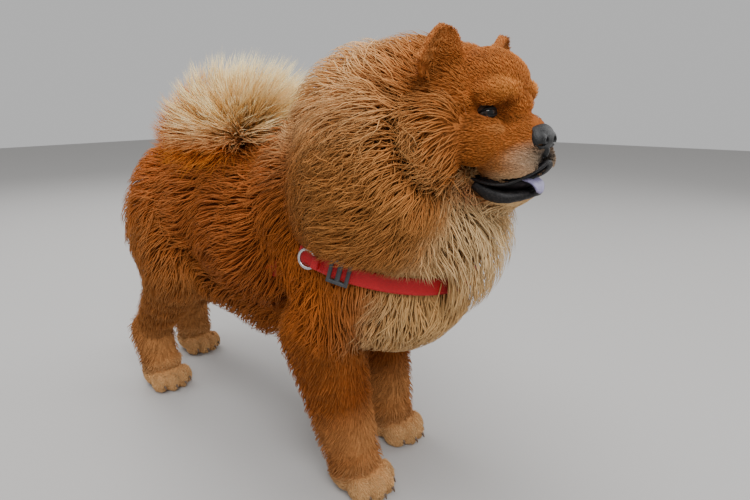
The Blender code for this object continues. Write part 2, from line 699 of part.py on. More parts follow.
def paint(nodes):
    """Give each node its own material."""
    for words, (colour, roughness, metallic) in FINISHES.items():
        for obj in nodes:
            if any(word in obj.name for word in words.split()):
                material = bpy.data.materials.new(obj.name)
                material.use_nodes = True
                surface = material.node_tree.nodes["Principled BSDF"]
                surface.inputs["Base Color"].default_value = (*colour, 1)
                surface.inputs["Roughness"].default_value = roughness
                surface.inputs["Metallic"].default_value = metallic
                obj.data.materials.clear()
                obj.data.materials.append(material)
                obj.color = (*colour, 1)


def tube_tail():
    """The tail's bone and flesh, with its root in the rump."""
    path = [Vector(m.centre) for m in TAIL[::4]]
    count = len(path)
    widths = [TAIL_BONE * (1.15 - 0.5 * k / (count - 1)) for k in range(count)]
    return tube("tail", path, widths, widths, 10)


def surface_tree(*objects):
    """A search tree over the surfaces of some objects."""
    bm = bmesh.new()
    for obj in objects:
        bm.from_mesh(obj.data)
    tree = BVHTree.FromBMesh(bm)
    bm.free()
    return tree


def lie_at(point, masses):
    """The way the coat lies at a point, blended from the masses nearest to it."""
    total = Vector((0, 0, 0))
    for mass in masses:
        scaled = [(point[i] - mass.centre[i]) / mass.radii[i] for i in range(3)]
        total += Vector(mass.lie).normalized() * math.exp(-6 * abs(Vector(scaled).length - 1))
    return total.normalized()


def scatter(obj, core, spacing, allowed, rng, tries=4000):
    """Points spread evenly over the part of a node's surface that carries long coat."""
    obj.data.calc_loop_triangles()
    vertices = obj.data.vertices
    triangles = list(obj.data.loop_triangles)
    areas = [t.area for t in triangles]
    chosen = []
    for triangle in rng.choices(triangles, areas, k=tries):
        a, b, c = (vertices[i].co for i in triangle.vertices)
        u, v = rng.random(), rng.random()
        if u + v > 1:
            u, v = 1 - u, 1 - v
        point = a + (b - a) * u + (c - a) * v
        _, normal, _, away = core.find_nearest(point)
        if away > 0.0015 or not allowed(point, normal):
            continue
        if all((point - other).length > spacing for other, _ in chosen):
            chosen.append((point, normal))
    return chosen


def make_lock(root, normal, lie, core, coat, length, width, rng):
    """The path of one lock: from under the skin, out through the coat, to its tip at the outline."""
    along = (lie - normal * lie.dot(normal)).normalized()
    along.rotate(Matrix.Rotation(rng.uniform(-0.30, 0.30), 3, normal))
    length *= rng.uniform(0.85, 1.15)
    middle_core = core.find_nearest(root + along * length * 0.45)[0]
    middle_coat = coat.find_nearest(middle_core)[0]
    tip_coat, tip_normal = coat.find_nearest(root + along * length + normal * 0.02)[:2]
    start = root - normal * LOCK_SINK
    middle = middle_core.lerp(middle_coat, 0.72)
    bend = normal.cross(along) * rng.uniform(-0.10, 0.10) * length
    handle = middle * 2 - (start + tip_coat) / 2 + bend
    path = []
    for step in LOCK_STEPS:
        point = start * (1 - step) ** 2 + handle * 2 * step * (1 - step) + tip_coat * step ** 2
        up = (normal * (1 - step) + tip_normal * step).normalized()
        path.append((point, up))
    return path, width * rng.uniform(0.85, 1.15)


def lock_rings(path, width, grow=0.0):
    """The corners of a flat tapered lock with a ridge along its top, three to a ring, and its tip."""
    rings = []
    last = len(path) - 1
    for k in range(last):
        point, up = path[k]
        ahead = (path[k + 1][0] - path[max(k - 1, 0)][0]).normalized()
        across = up.cross(ahead).normalized()
        up = ahead.cross(across).normalized()
        if k == 0:
            point = point - ahead * 2 * grow
        half = width / 2 * LOCK_WIDTHS[k] + 6 * grow
        ridge = width * LOCK_RIDGE * LOCK_WIDTHS[k]
        rings.append([point - across * half - up * (ridge * 0.3 + grow),
                      point + across * half - up * (ridge * 0.3 + grow),
                      point + up * (ridge * 0.7 + 1.4 * grow)])
    point = path[last][0]
    return rings, point + (point - path[last - 1][0]).normalized() * 8 * grow


def runs_true(path, width):
    """Whether a lock's rings turn gently and no two of its faces cross."""
    for grow in (0.0, GAP):
        rings, _ = lock_rings(path, width, grow)
        for a, b in zip(rings, rings[1:]):
            if (a[1] - a[0]).normalized().dot((b[1] - b[0]).normalized()) < LEAST_TURN:
                return False
        lock = lock_mesh(path, width, grow)
        tree = surface_tree(lock)
        faces = [set(face.vertices) for face in lock.data.polygons]
        bpy.data.objects.remove(lock)
        if any(not faces[i] & faces[j] for i, j in tree.overlap(tree)):
            return False
    return True


def lock_mesh(path, width, grow=0.0):
    """One lock as a closed mesh."""
    rings, tip = lock_rings(path, width, grow)
    bm = bmesh.new()
    rows = join_rings(bm, rings, False)
    end = bm.verts.new(tip)
    bm.faces.new(rows[0])
    for i in range(3):
        bm.faces.new((rows[-1][i], rows[-1][(i + 1) % 3], end))
    bmesh.ops.recalc_face_normals(bm, faces=bm.faces)
    return new_object("lock", bm)


def covers_strap(path, strap):
    """Whether a lock would hide the part of the chest strap that shows at the sides."""
    for k, (point, _) in enumerate(path[1:]):
        reach = 0.028 if k == len(path) - 2 else 0.044
        if abs(point.x) > 0.075 and near_path(point, strap, reach):
            return True
    return False


def near_path(point, path, reach):
    return any((point - other).length < reach for other in path)


def box_of(path):
    lows = [min(p[i] for p, _ in path) for i in range(3)]
    highs = [max(p[i] for p, _ in path) for i in range(3)]
    return lows, highs


def boxes_meet(a, b, margin=0.09):
    return all(a[0][i] - margin < b[1][i] and b[0][i] - margin < a[1][i] for i in range(3))


def node_box(obj):
    lows = [min(v.co[i] for v in obj.data.vertices) for i in range(3)]
    highs = [max(v.co[i] for v in obj.data.vertices) for i in range(3)]
    return lows, highs


def dress(obj, shown, core, coat, masses, allowed, strap, size, rng):
    """Root locks all over the shown part of a node and join them to it."""
    spacing, length, width = size
    locks = []
    for root, normal in scatter(shown, core, spacing, allowed, rng):
        depth = (coat.find_nearest(root)[0] - root).length
        if depth < 0.009:
            continue
        for share in (1.0, 0.75, 0.55):
            lock = make_lock(root, normal, lie_at(root, masses), core, coat, length * share, width, rng)
            if runs_true(*lock) and not covers_strap(lock[0], strap):
                locks.append(lock)
                break
    if locks:
        boolean(obj, "UNION", [lock_mesh(path, wide) for path, wide in locks])
    return locks


def clear_of(obj, others):
    """Cut a node clear of the locks of the nodes that lie over it."""
    box = node_box(obj)
    for path, width in others:
        if boxes_meet(box_of(path), box):
            boolean(obj, "DIFFERENCE", [lock_mesh(path, width, GAP)])


def tail_locks(tail, rng):
    """The plume: locks that fan out from the tail's bone, up, forward and to the sides."""
    locks = []
    bone = [Vector(m.centre) for m in TAIL]
    for k in range(PLUME_ROWS):
        place = (len(bone) - 1) * (k + 0.5) / PLUME_ROWS
        low = int(place)
        centre = bone[low].lerp(bone[low + 1], place - low)
        ahead = (bone[low + 1] - bone[low]).normalized()
        side = ahead.cross(Vector((0, 0, 1))).normalized()
        up = side.cross(ahead)
        reach = TAIL[low].radii[0]
        for i in range(PLUME_ACROSS):
            spread = -PLUME_SPREAD + 2 * PLUME_SPREAD * (i + 0.5 * (k % 2)) / (PLUME_ACROSS - 0.5)
            angle = math.radians(spread) + rng.uniform(-0.10, 0.10)
            out = side * math.sin(angle) + up * math.cos(angle)
            sweep = ahead * rng.uniform(0.30, 0.60)
            flat = ahead.cross(out)
            flat.rotate(Matrix.Rotation(rng.uniform(-0.5, 0.5), 3, out))
            start = centre + out * TAIL_BONE * 0.35
            tip = centre + out * reach * rng.uniform(0.97, 1.04) + sweep * reach
            middle = centre + out * reach * 0.62 + sweep * reach * 0.25
            handle = middle * 2 - (start + tip) / 2
            path = []
            for step in LOCK_STEPS:
                point = start * (1 - step) ** 2 + handle * 2 * step * (1 - step) + tip * step ** 2
                path.append((point, flat))
            locks.append((path, PLUME_WIDTH * rng.uniform(0.85, 1.15)))
    boolean(tail, "UNION", [lock_mesh(path, size) for path, size in locks])
    return locks


def on_cheek(point, normal):
    """Where the head carries long coat: behind the eyes, away from the ears."""
    ears = [Vector((side * EAR_BASE.x, EAR_BASE.y, EAR_BASE.z + 0.02)) for side in (-1, 1)]
    clear = all((point - ear).length > 0.036 for ear in ears)
    return point.y > -0.425 and clear and (abs(point.x) > 0.055 or point.z > 0.60) and normal.y < 0.9


def main():
    clear_scene()
    rng = random.Random(SEED)
    body_masses = TRUNK + NECK + BREECHES
    for leg in FORE_LEGS:
        body_masses += fore_leg_masses(leg)
    for leg in HIND_LEGS:
        body_masses += hind_leg_masses(leg)
    body = blob("body", body_masses, 0.006, 6, 1150, CORE_SHARE)
    outline = blob("outline", body_masses + HEAD, 0.010, 4, 3000)
    coat = surface_tree(outline)
    ears = [make_ear(-1), make_ear(1)]
    head, mouth, pockets = make_head(make_nose(), make_tongue(), ears)
    core = surface_tree(body, head)
    tail = tube_tail()
    grooves, chest_points = make_harness(surface_tree(body))
    ear_rooms = [grown(ear) for ear in ears]
    pockets += ear_rooms + [grown(tail)]

    def off_strap(point, _):
        return not near_path(point, chest_points, 0.026) and point.z > 0.16

    def long_haired(point, normal):
        outside = abs(point.x) > 0.055 or normal.y > 0.2
        return point.z > 0.11 and outside and off_strap(point, normal)

    above = dress(head, head, core, coat, HEAD, on_cheek, chest_points, HEAD_LOCK, rng)
    cut_by(head, mouth, *ear_rooms)
    above += tail_locks(tail, rng)

    point, normal = NECK_PLANE
    neck = copy_of(body, "neck")
    cut_by(neck, half_space(point + normal * GAP, -normal))
    own = dress(neck, neck, core, coat, NECK, off_strap, chest_points, RUFF_LOCK, rng)
    cut_by(neck, *pockets, *grooves)
    clear_of(neck, above)
    cut_by(neck, head)
    above += own

    torso = copy_of(body, "torso")
    cells = [leg_cell(leg, FORE_CELL, GAP) for leg in FORE_LEGS]
    cells += [leg_cell(leg, HIND_CELL, GAP) for leg in HIND_LEGS]
    front = half_space(point, normal)
    cut_by(torso, *cells)
    shown = cut_by(copy_of(torso), front)
    own = dress(torso, shown, core, coat, body_masses, off_strap, chest_points, BODY_LOCK, rng)
    cut_by(torso, front, *pockets, *grooves)
    clear_of(torso, above)
    cut_by(torso, neck, tail)
    above += own

    for kind, group, cell in (("fore", FORE_LEGS, FORE_CELL), ("hind", HIND_LEGS, HIND_CELL)):
        for leg in group:
            limb_node = copy_of(body, f"{kind}_leg_{leg.name}")
            shown = boolean(copy_of(body), "INTERSECT", [leg_cell(leg, cell)])
            dress(limb_node, shown, core, coat, body_masses, long_haired, chest_points, LEG_LOCK, rng)
            boolean(limb_node, "INTERSECT", [leg_cell(leg, cell)])
            cut_by(limb_node, half_space(Vector((0, 0, PAW_TOP + GAP)), Vector((0, 0, -1))), *grooves)
            clear_of(limb_node, above)
            cut_by(limb_node, torso, neck)
            make_paw(leg, f"{kind}_paw_{leg.name}")

    words = " ".join(FINISHES).split()
    nodes = [obj for obj in bpy.data.objects if any(word in obj.name for word in words)]
    for obj in list(bpy.data.objects):
        if obj not in nodes:
            bpy.data.objects.remove(obj)
    for obj in nodes:
        obj.data.transform(Matrix.Translation(FRAME_SHIFT))
    paint(nodes)


main()
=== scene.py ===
"""The looks of a standing chow chow, life size, in a red web harness.

The dog faces -Y, its left side is +X and the floor is Z = 0. Sizes are in metres. Shapes are
built about the body's own middle and then moved by FRAME_SHIFT into the frame of the solids.
"""
from __future__ import annotations

import logging
import math
from dataclasses import dataclass, field
from enum import Enum

import bmesh
import bpy
import numpy as np
from bpy.types import Material, Node, NodeSocket, NodeTree, Object
from mathutils import Matrix, Vector
from mathutils.bvhtree import BVHTree
from mathutils.kdtree import KDTree


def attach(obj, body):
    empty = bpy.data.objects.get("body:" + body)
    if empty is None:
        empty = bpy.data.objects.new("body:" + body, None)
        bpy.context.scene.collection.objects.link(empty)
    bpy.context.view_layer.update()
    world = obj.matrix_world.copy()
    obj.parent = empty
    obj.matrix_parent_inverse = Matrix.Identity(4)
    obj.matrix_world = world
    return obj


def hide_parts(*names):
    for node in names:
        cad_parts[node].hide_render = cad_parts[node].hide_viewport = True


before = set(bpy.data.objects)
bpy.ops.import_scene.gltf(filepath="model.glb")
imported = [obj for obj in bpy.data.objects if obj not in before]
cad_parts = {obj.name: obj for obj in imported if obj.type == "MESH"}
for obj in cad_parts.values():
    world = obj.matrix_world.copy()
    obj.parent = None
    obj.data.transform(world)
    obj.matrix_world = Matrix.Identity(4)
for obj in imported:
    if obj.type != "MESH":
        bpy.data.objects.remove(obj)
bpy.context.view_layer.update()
LOG = logging.getLogger("chow")

Triple = tuple[float, float, float]
Array = np.ndarray
Line = list[Vector]
FRAME_SHIFT = Vector((0.0, 0.0705, 0.0))
SEED = 7
CORE_SHARE = 0.50
SHORT_COAT = 0.024


def tone(red: int, green: int, blue: int) -> Triple:
    """Turn a colour seen on a screen into the linear colour that a shader takes.

    Args:
        red: Red from 0 to 255.
        green: Green from 0 to 255.
        blue: Blue from 0 to 255.

    Returns:
        The three linear values.
    """
    def linear(value: float) -> float:
        """One channel."""
        value /= 255
        return value / 12.92 if value <= 0.04045 else ((value + 0.055) / 1.055) ** 2.4

    return linear(red), linear(green), linear(blue)


@dataclass(frozen=True)
class HairStyle:
    """How one part of the coat grows, and its colours from the root to the tip."""

    length: float
    width: float
    spacing: float
    curl: float
    clump: float
    stand: float
    root: Triple
    middle: Triple
    tip: Triple

    def row(self) -> list[float]:
        """All values in one row, for blending."""
        return [self.length, self.width, self.spacing, self.curl, self.clump, self.stand,
                *self.root, *self.middle, *self.tip]


class Hair(Enum):
    """The kinds of hair on the dog."""

    FACE = HairStyle(0.0080, 0.0010, 0.0020, 0.0002, 0.08, 0.20,
                     tone(126, 66, 26), tone(168, 96, 42), tone(194, 126, 64))
    MUZZLE = HairStyle(0.0065, 0.0009, 0.0017, 0.0001, 0.05, 0.16,
                       tone(116, 70, 36), tone(172, 114, 64), tone(198, 144, 94))
    CHEEK = HairStyle(0.0540, 0.0019, 0.0033, 0.0018, 0.16, 0.90,
                      tone(132, 72, 30), tone(178, 110, 54), tone(210, 154, 94))
    EAR = HairStyle(0.0045, 0.0010, 0.0016, 0.0001, 0.05, 0.10,
                    tone(124, 64, 28), tone(168, 98, 46), tone(196, 132, 74))
    # Paler than the ruff below it: partly the nape's own pale hair, partly painted light where light falls
    # on the top of the neck.
    NAPE = HairStyle(0.0620, 0.0022, 0.0040, 0.0018, 0.10, 1.0,
                     tone(176, 110, 56), tone(222, 164, 102), tone(244, 208, 154))
    # Darker than the nape and the chest: partly the ruff's own colour, partly painted shade on the sides of
    # the neck.
    RUFF = HairStyle(0.0620, 0.0022, 0.0034, 0.0042, 0.20, 1.0,
                     tone(132, 74, 32), tone(158, 94, 42), tone(182, 124, 66))
    CHEST = HairStyle(0.0660, 0.0023, 0.0042, 0.0020, 0.16, 1.0,
                      tone(170, 114, 60), tone(206, 162, 106), tone(226, 192, 144))
    BACK = HairStyle(0.0540, 0.0023, 0.0043, 0.0014, 0.10, 1.0,
                     tone(122, 60, 22), tone(174, 94, 42), tone(204, 130, 68))
    # Darker than the back: partly the flank's own colour, partly painted shade on the side of the body,
    # away from the light above.
    FLANK = HairStyle(0.0560, 0.0023, 0.0044, 0.0016, 0.10, 1.0,
                      tone(108, 54, 20), tone(152, 80, 33), tone(180, 108, 52))
    BELLY = HairStyle(0.0560, 0.0023, 0.0046, 0.0016, 0.16, 1.0,
                      tone(108, 56, 22), tone(150, 86, 38), tone(174, 114, 60))
    BREECHES = HairStyle(0.0640, 0.0023, 0.0044, 0.0016, 0.12, 1.0,
                         tone(114, 58, 22), tone(162, 92, 40), tone(192, 132, 76))
    FORELEG = HairStyle(0.0220, 0.0013, 0.0028, 0.0005, 0.14, 0.38,
                        tone(104, 52, 18), tone(148, 80, 32), tone(174, 110, 56))
    FEATHER = HairStyle(0.0420, 0.0018, 0.0038, 0.0013, 0.22, 1.0,
                        tone(160, 104, 54), tone(196, 150, 96), tone(216, 180, 130))
    HINDLEG = HairStyle(0.0230, 0.0013, 0.0028, 0.0006, 0.14, 0.38,
                        tone(112, 60, 24), tone(160, 98, 48), tone(188, 132, 78))
    PAW = HairStyle(0.0078, 0.0010, 0.0020, 0.0002, 0.06, 0.18,
                    tone(168, 114, 66), tone(214, 166, 112), tone(228, 188, 138))
    TAIL = HairStyle(0.1050, 0.0020, 0.0050, 0.0026, 0.30, 1.0,
                     tone(164, 100, 44), tone(252, 210, 142), tone(255, 236, 186))


@dataclass(frozen=True)
class Mass:
    """An ellipsoid out to the tips of the coat, its coat's depth and lie, and its hair."""

    centre: Triple
    radii: Triple
    coat: float
    lie: Triple
    hair: Hair

    def bare(self, share: float) -> float:
        """How far inside the tips of its coat the surface lies that keeps a share of its depth."""
        depth = self.coat if self.coat > SHORT_COAT else 0.3 * self.coat
        return (1 - share) * depth


@dataclass(frozen=True)
class MarkingOrPaintedShade:
    """A soft-edged patch of another colour laid over the coat; most are the coat's own markings, and some
    are painted shade.
    """

    centre: Triple
    radii: Triple
    colour: Triple
    strength: float


def marking_or_shade_pair(centre: Triple, radii: Triple, colour: Triple, strength: float) -> list[MarkingOrPaintedShade]:
    """The same patch on the right side and on the left, for the coat's markings and for painted shade.

    Args:
        centre: The middle of the left one.
        radii: The three radii.
        colour: The colour that is laid over the coat.
        strength: How much of it shows in the middle.

    Returns:
        The two patches.
    """
    return [MarkingOrPaintedShade((x, *centre[1:]), radii, colour, strength) for x in (-centre[0], centre[0])]


def both_sides(*masses: Mass) -> list[Mass]:
    """The masses and their twins across the middle of the body.

    Args:
        masses: Masses of the left side.

    Returns:
        The masses of both sides.
    """
    twins = [Mass((-m.centre[0], *m.centre[1:]), m.radii, m.coat, (-m.lie[0], *m.lie[1:]), m.hair)
             for m in masses]
    return list(masses) + twins


def limb(start: Vector, end: Vector, radii: tuple[float, float], coat: float, lie: Triple,
         hair: Hair, steps: int = 5) -> list[Mass]:
    """Balls along one bone, close enough to fuse.

    Args:
        start: The upper end of the bone.
        end: The lower end of the bone.
        radii: The radius at each end.
        coat: The depth of the coat.
        lie: The way the coat lies.
        hair: The kind of hair.
        steps: How many gaps between balls.

    Returns:
        The masses along the bone.
    """
    masses = []
    for i in range(steps + 1):
        t = i / steps
        radius = radii[0] + (radii[1] - radii[0]) * t
        masses.append(Mass(tuple(Vector(start).lerp(Vector(end), t)), (radius,) * 3, coat, lie, hair))
    return masses


class LegKind(Enum):
    """The pair that a leg belongs to."""

    FORE = "fore"
    HIND = "hind"


@dataclass(frozen=True)
class Leg:
    """One leg, by the place of its paw on the floor."""

    kind: LegKind
    side: int
    paw_x: float
    paw_y: float

    def masses(self) -> list[Mass]:
        """The flesh and coat of the leg down to the ankle."""
        return self.fore() if self.kind is LegKind.FORE else self.hind()

    def fore(self) -> list[Mass]:
        """A foreleg: shoulder, upper arm, forearm and the feathering behind it.

        Returns:
            The masses, the feathering last.
        """
        s = self.side
        elbow = Vector((0.085 * s, self.paw_y + 0.052, 0.235))
        shoulder = Vector((0.080 * s, -0.300, 0.350))
        carpus = Vector((self.paw_x + 0.006 * s, self.paw_y + 0.018, 0.090))
        ankle = Vector((self.paw_x, self.paw_y + 0.006, 0.038))
        down = (0.1 * s, 0.5, -1)
        masses = limb(shoulder, elbow, (0.072, 0.062), 0.040, down, Hair.FLANK)
        masses += [Mass((0.075 * s, -0.250, 0.370), (0.068, 0.095, 0.105), 0.022, down, Hair.FLANK)]
        masses += limb(elbow, carpus, (0.060, 0.043), 0.024, down, Hair.FORELEG)
        masses += limb(carpus, ankle, (0.042, 0.037), 0.010, down, Hair.FORELEG, 3)
        behind = Vector((0, 0.034, 0))
        masses += limb(elbow + behind, carpus + behind * 0.7, (0.044, 0.026), 0.036, (0, 0.7, -1),
                       Hair.FEATHER, 4)
        return masses

    def hind(self) -> list[Mass]:
        """A hind leg: thigh, lower thigh and hock.

        Returns:
            The masses, from the thigh down.
        """
        s = self.side
        hip = Vector((0.068 * s, 0.145, 0.360))
        stifle = Vector((0.080 * s, 0.115 + 0.3 * (self.paw_y - 0.22), 0.260))
        hock = Vector((self.paw_x + 0.006 * s, self.paw_y + 0.020, 0.115))
        ankle = Vector((self.paw_x, self.paw_y + 0.008, 0.038))
        down = (0.1 * s, 0.5, -1)
        masses = [Mass((0.070 * s, 0.135, 0.310), (0.074, 0.096, 0.115), 0.050, down, Hair.BREECHES)]
        masses += limb(hip, stifle, (0.076, 0.068), 0.040, down, Hair.BREECHES)
        masses += limb(stifle, hock, (0.066, 0.041), 0.025, down, Hair.HINDLEG)
        masses += limb(hock, ankle, (0.039, 0.035), 0.010, down, Hair.HINDLEG, 3)
        return masses

    def toes(self) -> list[tuple[float, float]]:
        """Where each toe lies across the paw, and how far it reaches forward."""
        return [(-0.0275, 0.024), (-0.0097, 0.036), (0.0097, 0.036), (0.0275, 0.024)]

    def paw(self) -> list[Mass]:
        """The round foot and its four toes.

        Returns:
            The masses.
        """
        x, y = self.paw_x, self.paw_y
        masses = [Mass((x, y + 0.004, 0.024), (0.037, 0.040, 0.028), 0.006, (0, 0.6, 0.6), Hair.PAW),
                  Mass((x, y + 0.006, 0.050), (0.036, 0.036, 0.020), 0.006, (0, 0.5, -1), Hair.PAW)]
        for across, reach in self.toes():
            masses.append(Mass((x + across, y - reach, 0.018), (0.0118, 0.020, 0.019), 0.004,
                               (0, -0.7, -0.7), Hair.PAW))
        return masses


LEGS = (Leg(LegKind.FORE, -1, -0.070, -0.288), Leg(LegKind.FORE, 1, 0.070, -0.247),
        Leg(LegKind.HIND, -1, -0.070, 0.221), Leg(LegKind.HIND, 1, 0.070, 0.315))

TRUNK = [
    Mass((0, -0.090, 0.360), (0.148, 0.200, 0.148), 0.055, (0, 1, -0.6), Hair.FLANK),
    Mass((0, -0.180, 0.420), (0.125, 0.130, 0.105), 0.055, (0, 1, -0.4), Hair.BACK),
    Mass((0, 0.055, 0.385), (0.134, 0.150, 0.122), 0.055, (0, 1, -0.5), Hair.BACK),
    Mass((0, 0.145, 0.388), (0.130, 0.122, 0.116), 0.055, (0, 1, -0.6), Hair.BACK),
    Mass((0, -0.010, 0.270), (0.112, 0.180, 0.085), 0.060, (0, 0.6, -1), Hair.BELLY),
    Mass((0, -0.305, 0.330), (0.135, 0.115, 0.125), 0.040, (0, 0.2, -1), Hair.CHEST),
] + both_sides(
    Mass((0.055, 0.205, 0.330), (0.068, 0.080, 0.115), 0.065, (0.1, 0.6, -1), Hair.BREECHES),
)
NECK = [
    Mass((0, -0.262, 0.490), (0.140, 0.105, 0.148), 0.078, (0, 1, -0.1), Hair.NAPE),
    Mass((0, -0.330, 0.515), (0.136, 0.088, 0.132), 0.078, (0, 0.9, 0.2), Hair.NAPE),
    Mass((0, -0.350, 0.385), (0.140, 0.118, 0.130), 0.095, (0, -0.1, -1), Hair.CHEST),
    Mass((0, -0.350, 0.515), (0.075, 0.060, 0.070), 0.005, (0, 1, 0), Hair.RUFF),
] + both_sides(
    Mass((0.080, -0.325, 0.450), (0.109, 0.108, 0.140), 0.105, (0.4, 0.5, -0.8), Hair.RUFF),
    Mass((0.050, -0.275, 0.465), (0.086, 0.092, 0.108), 0.075, (0.3, 0.7, -0.8), Hair.RUFF),
)
HEAD = [
    Mass((0, -0.370, 0.553), (0.092, 0.082, 0.080), 0.030, (0, 1, 0), Hair.CHEEK),
    Mass((0, -0.431, 0.570), (0.055, 0.051, 0.045), 0.010, (0, 0.8, 0.6), Hair.FACE),
    Mass((0, -0.400, 0.559), (0.076, 0.058, 0.060), 0.012, (0, 1, 0.3), Hair.FACE),
    Mass((0, -0.458, 0.548), (0.026, 0.031, 0.022), 0.006, (0, 0.6, 0.8), Hair.FACE),
    Mass((0, -0.466, 0.506), (0.048, 0.046, 0.033), 0.006, (0, 1, 0), Hair.FACE),
    Mass((0, -0.466, 0.526), (0.028, 0.040, 0.016), 0.004, (0, 1, 0.3), Hair.FACE),
    Mass((0, -0.448, 0.450), (0.037, 0.050, 0.024), 0.008, (0, 1, -0.5), Hair.CHEST),
    Mass((0, -0.482, 0.453), (0.027, 0.021, 0.014), 0.006, (0, 1, -0.5), Hair.MUZZLE),
    Mass((0, -0.385, 0.460), (0.065, 0.060, 0.055), 0.040, (0, 0.3, -1), Hair.CHEST),
] + both_sides(
    Mass((0.031, -0.454, 0.565), (0.028, 0.025, 0.017), 0.006, (0.3, 0.7, 0.6), Hair.FACE),
    Mass((0.066, -0.400, 0.512), (0.052, 0.058, 0.060), 0.030, (0.7, 0.8, -0.3), Hair.CHEEK),
    Mass((0.044, -0.447, 0.512), (0.031, 0.032, 0.031), 0.008, (0.7, 0.8, 0), Hair.FACE),
    Mass((0.025, -0.474, 0.487), (0.026, 0.037, 0.024), 0.005, (0.5, 0.8, -0.2), Hair.MUZZLE),
)
FOLDS = both_sides(
    Mass((0.020, -0.474, 0.5625), (0.0095, 0.0085, 0.0130), 0.001, (0.2, 0.5, 1), Hair.FACE),
    Mass((0.043, -0.4575, 0.5545), (0.0150, 0.0090, 0.0058), 0.001, (0.6, 0.7, 0.4), Hair.FACE),
    Mass((0.044, -0.4600, 0.5265), (0.0150, 0.0085, 0.0060), 0.001, (0.8, 0.7, -0.2), Hair.FACE),
    Mass((0.036, -0.4740, 0.5080), (0.0140, 0.0130, 0.0075), 0.001, (0.8, 0.7, -0.2), Hair.FACE),
    Mass((0.0185, -0.4960, 0.4930), (0.0150, 0.0150, 0.0120), 0.001, (0.6, 0.8, -0.3), Hair.MUZZLE),
)
NOSE = [
    Mass((0, -0.502, 0.514), (0.024, 0.013, 0.016), 0, (0, 0, 1), Hair.FACE),
    Mass((0, -0.499, 0.521), (0.020, 0.014, 0.009), 0, (0, 0, 1), Hair.FACE),
    Mass((0, -0.506, 0.500), (0.006, 0.007, 0.009), 0, (0, 0, 1), Hair.FACE),
] + both_sides(
    Mass((0.0140, -0.503, 0.512), (0.0115, 0.0115, 0.0115), 0, (0, 0, 1), Hair.FACE),
)
TAIL = (
    limb((0, 0.172, 0.420), (0, 0.165, 0.462), (0.060, 0.060), 0.040, (0, 1, 0.4), Hair.TAIL, 3)
    + limb((0, 0.160, 0.470), (0, 0.110, 0.492), (0.080, 0.112), 0.070, (0, 0.6, 0.8), Hair.TAIL, 4)
    + limb((0, 0.110, 0.492), (-0.010, 0.010, 0.494), (0.112, 0.126), 0.085, (0, -0.3, 1), Hair.TAIL, 4)
    + limb((-0.010, 0.010, 0.494), (-0.025, -0.080, 0.492), (0.126, 0.100), 0.080, (-0.2, -1, 0.3),
           Hair.TAIL, 4)
)
TAIL_BONE = 0.026
PLUME = (
    limb((0, 0.165, 0.455), (0, 0.110, 0.484), (0.066, 0.098), 0.07, (0, 0, 1), Hair.TAIL, 3)
    + limb((0, 0.110, 0.484), (-0.010, 0.010, 0.496), (0.098, 0.130), 0.08, (0, 0, 1), Hair.TAIL, 4)
    + limb((-0.010, 0.010, 0.496), (-0.020, -0.084, 0.510), (0.128, 0.108), 0.08, (0, 0, 1), Hair.TAIL, 4)
)
UNDER = [Mass((0, -0.062, 0.246), (0.082, 0.112, 0.072), 0.055, (0, 0.6, -1), Hair.BELLY)]
FRINGE = [
    Mass((0, -0.064, 0.240), (0.088, 0.112, 0.084), 0.060, (0, 0.6, -1), Hair.BELLY),
    Mass((0, -0.185, 0.450), (0.118, 0.118, 0.112), 0.055, (0, 1, -0.3), Hair.BACK),
] + both_sides(
    Mass((0.070, -0.215, 0.425), (0.090, 0.100, 0.108), 0.060, (0.3, 0.8, -0.6), Hair.BACK),
    Mass((0.092, -0.178, 0.235), (0.034, 0.040, 0.060), 0.040, (0, 0.6, -1), Hair.FEATHER),
)

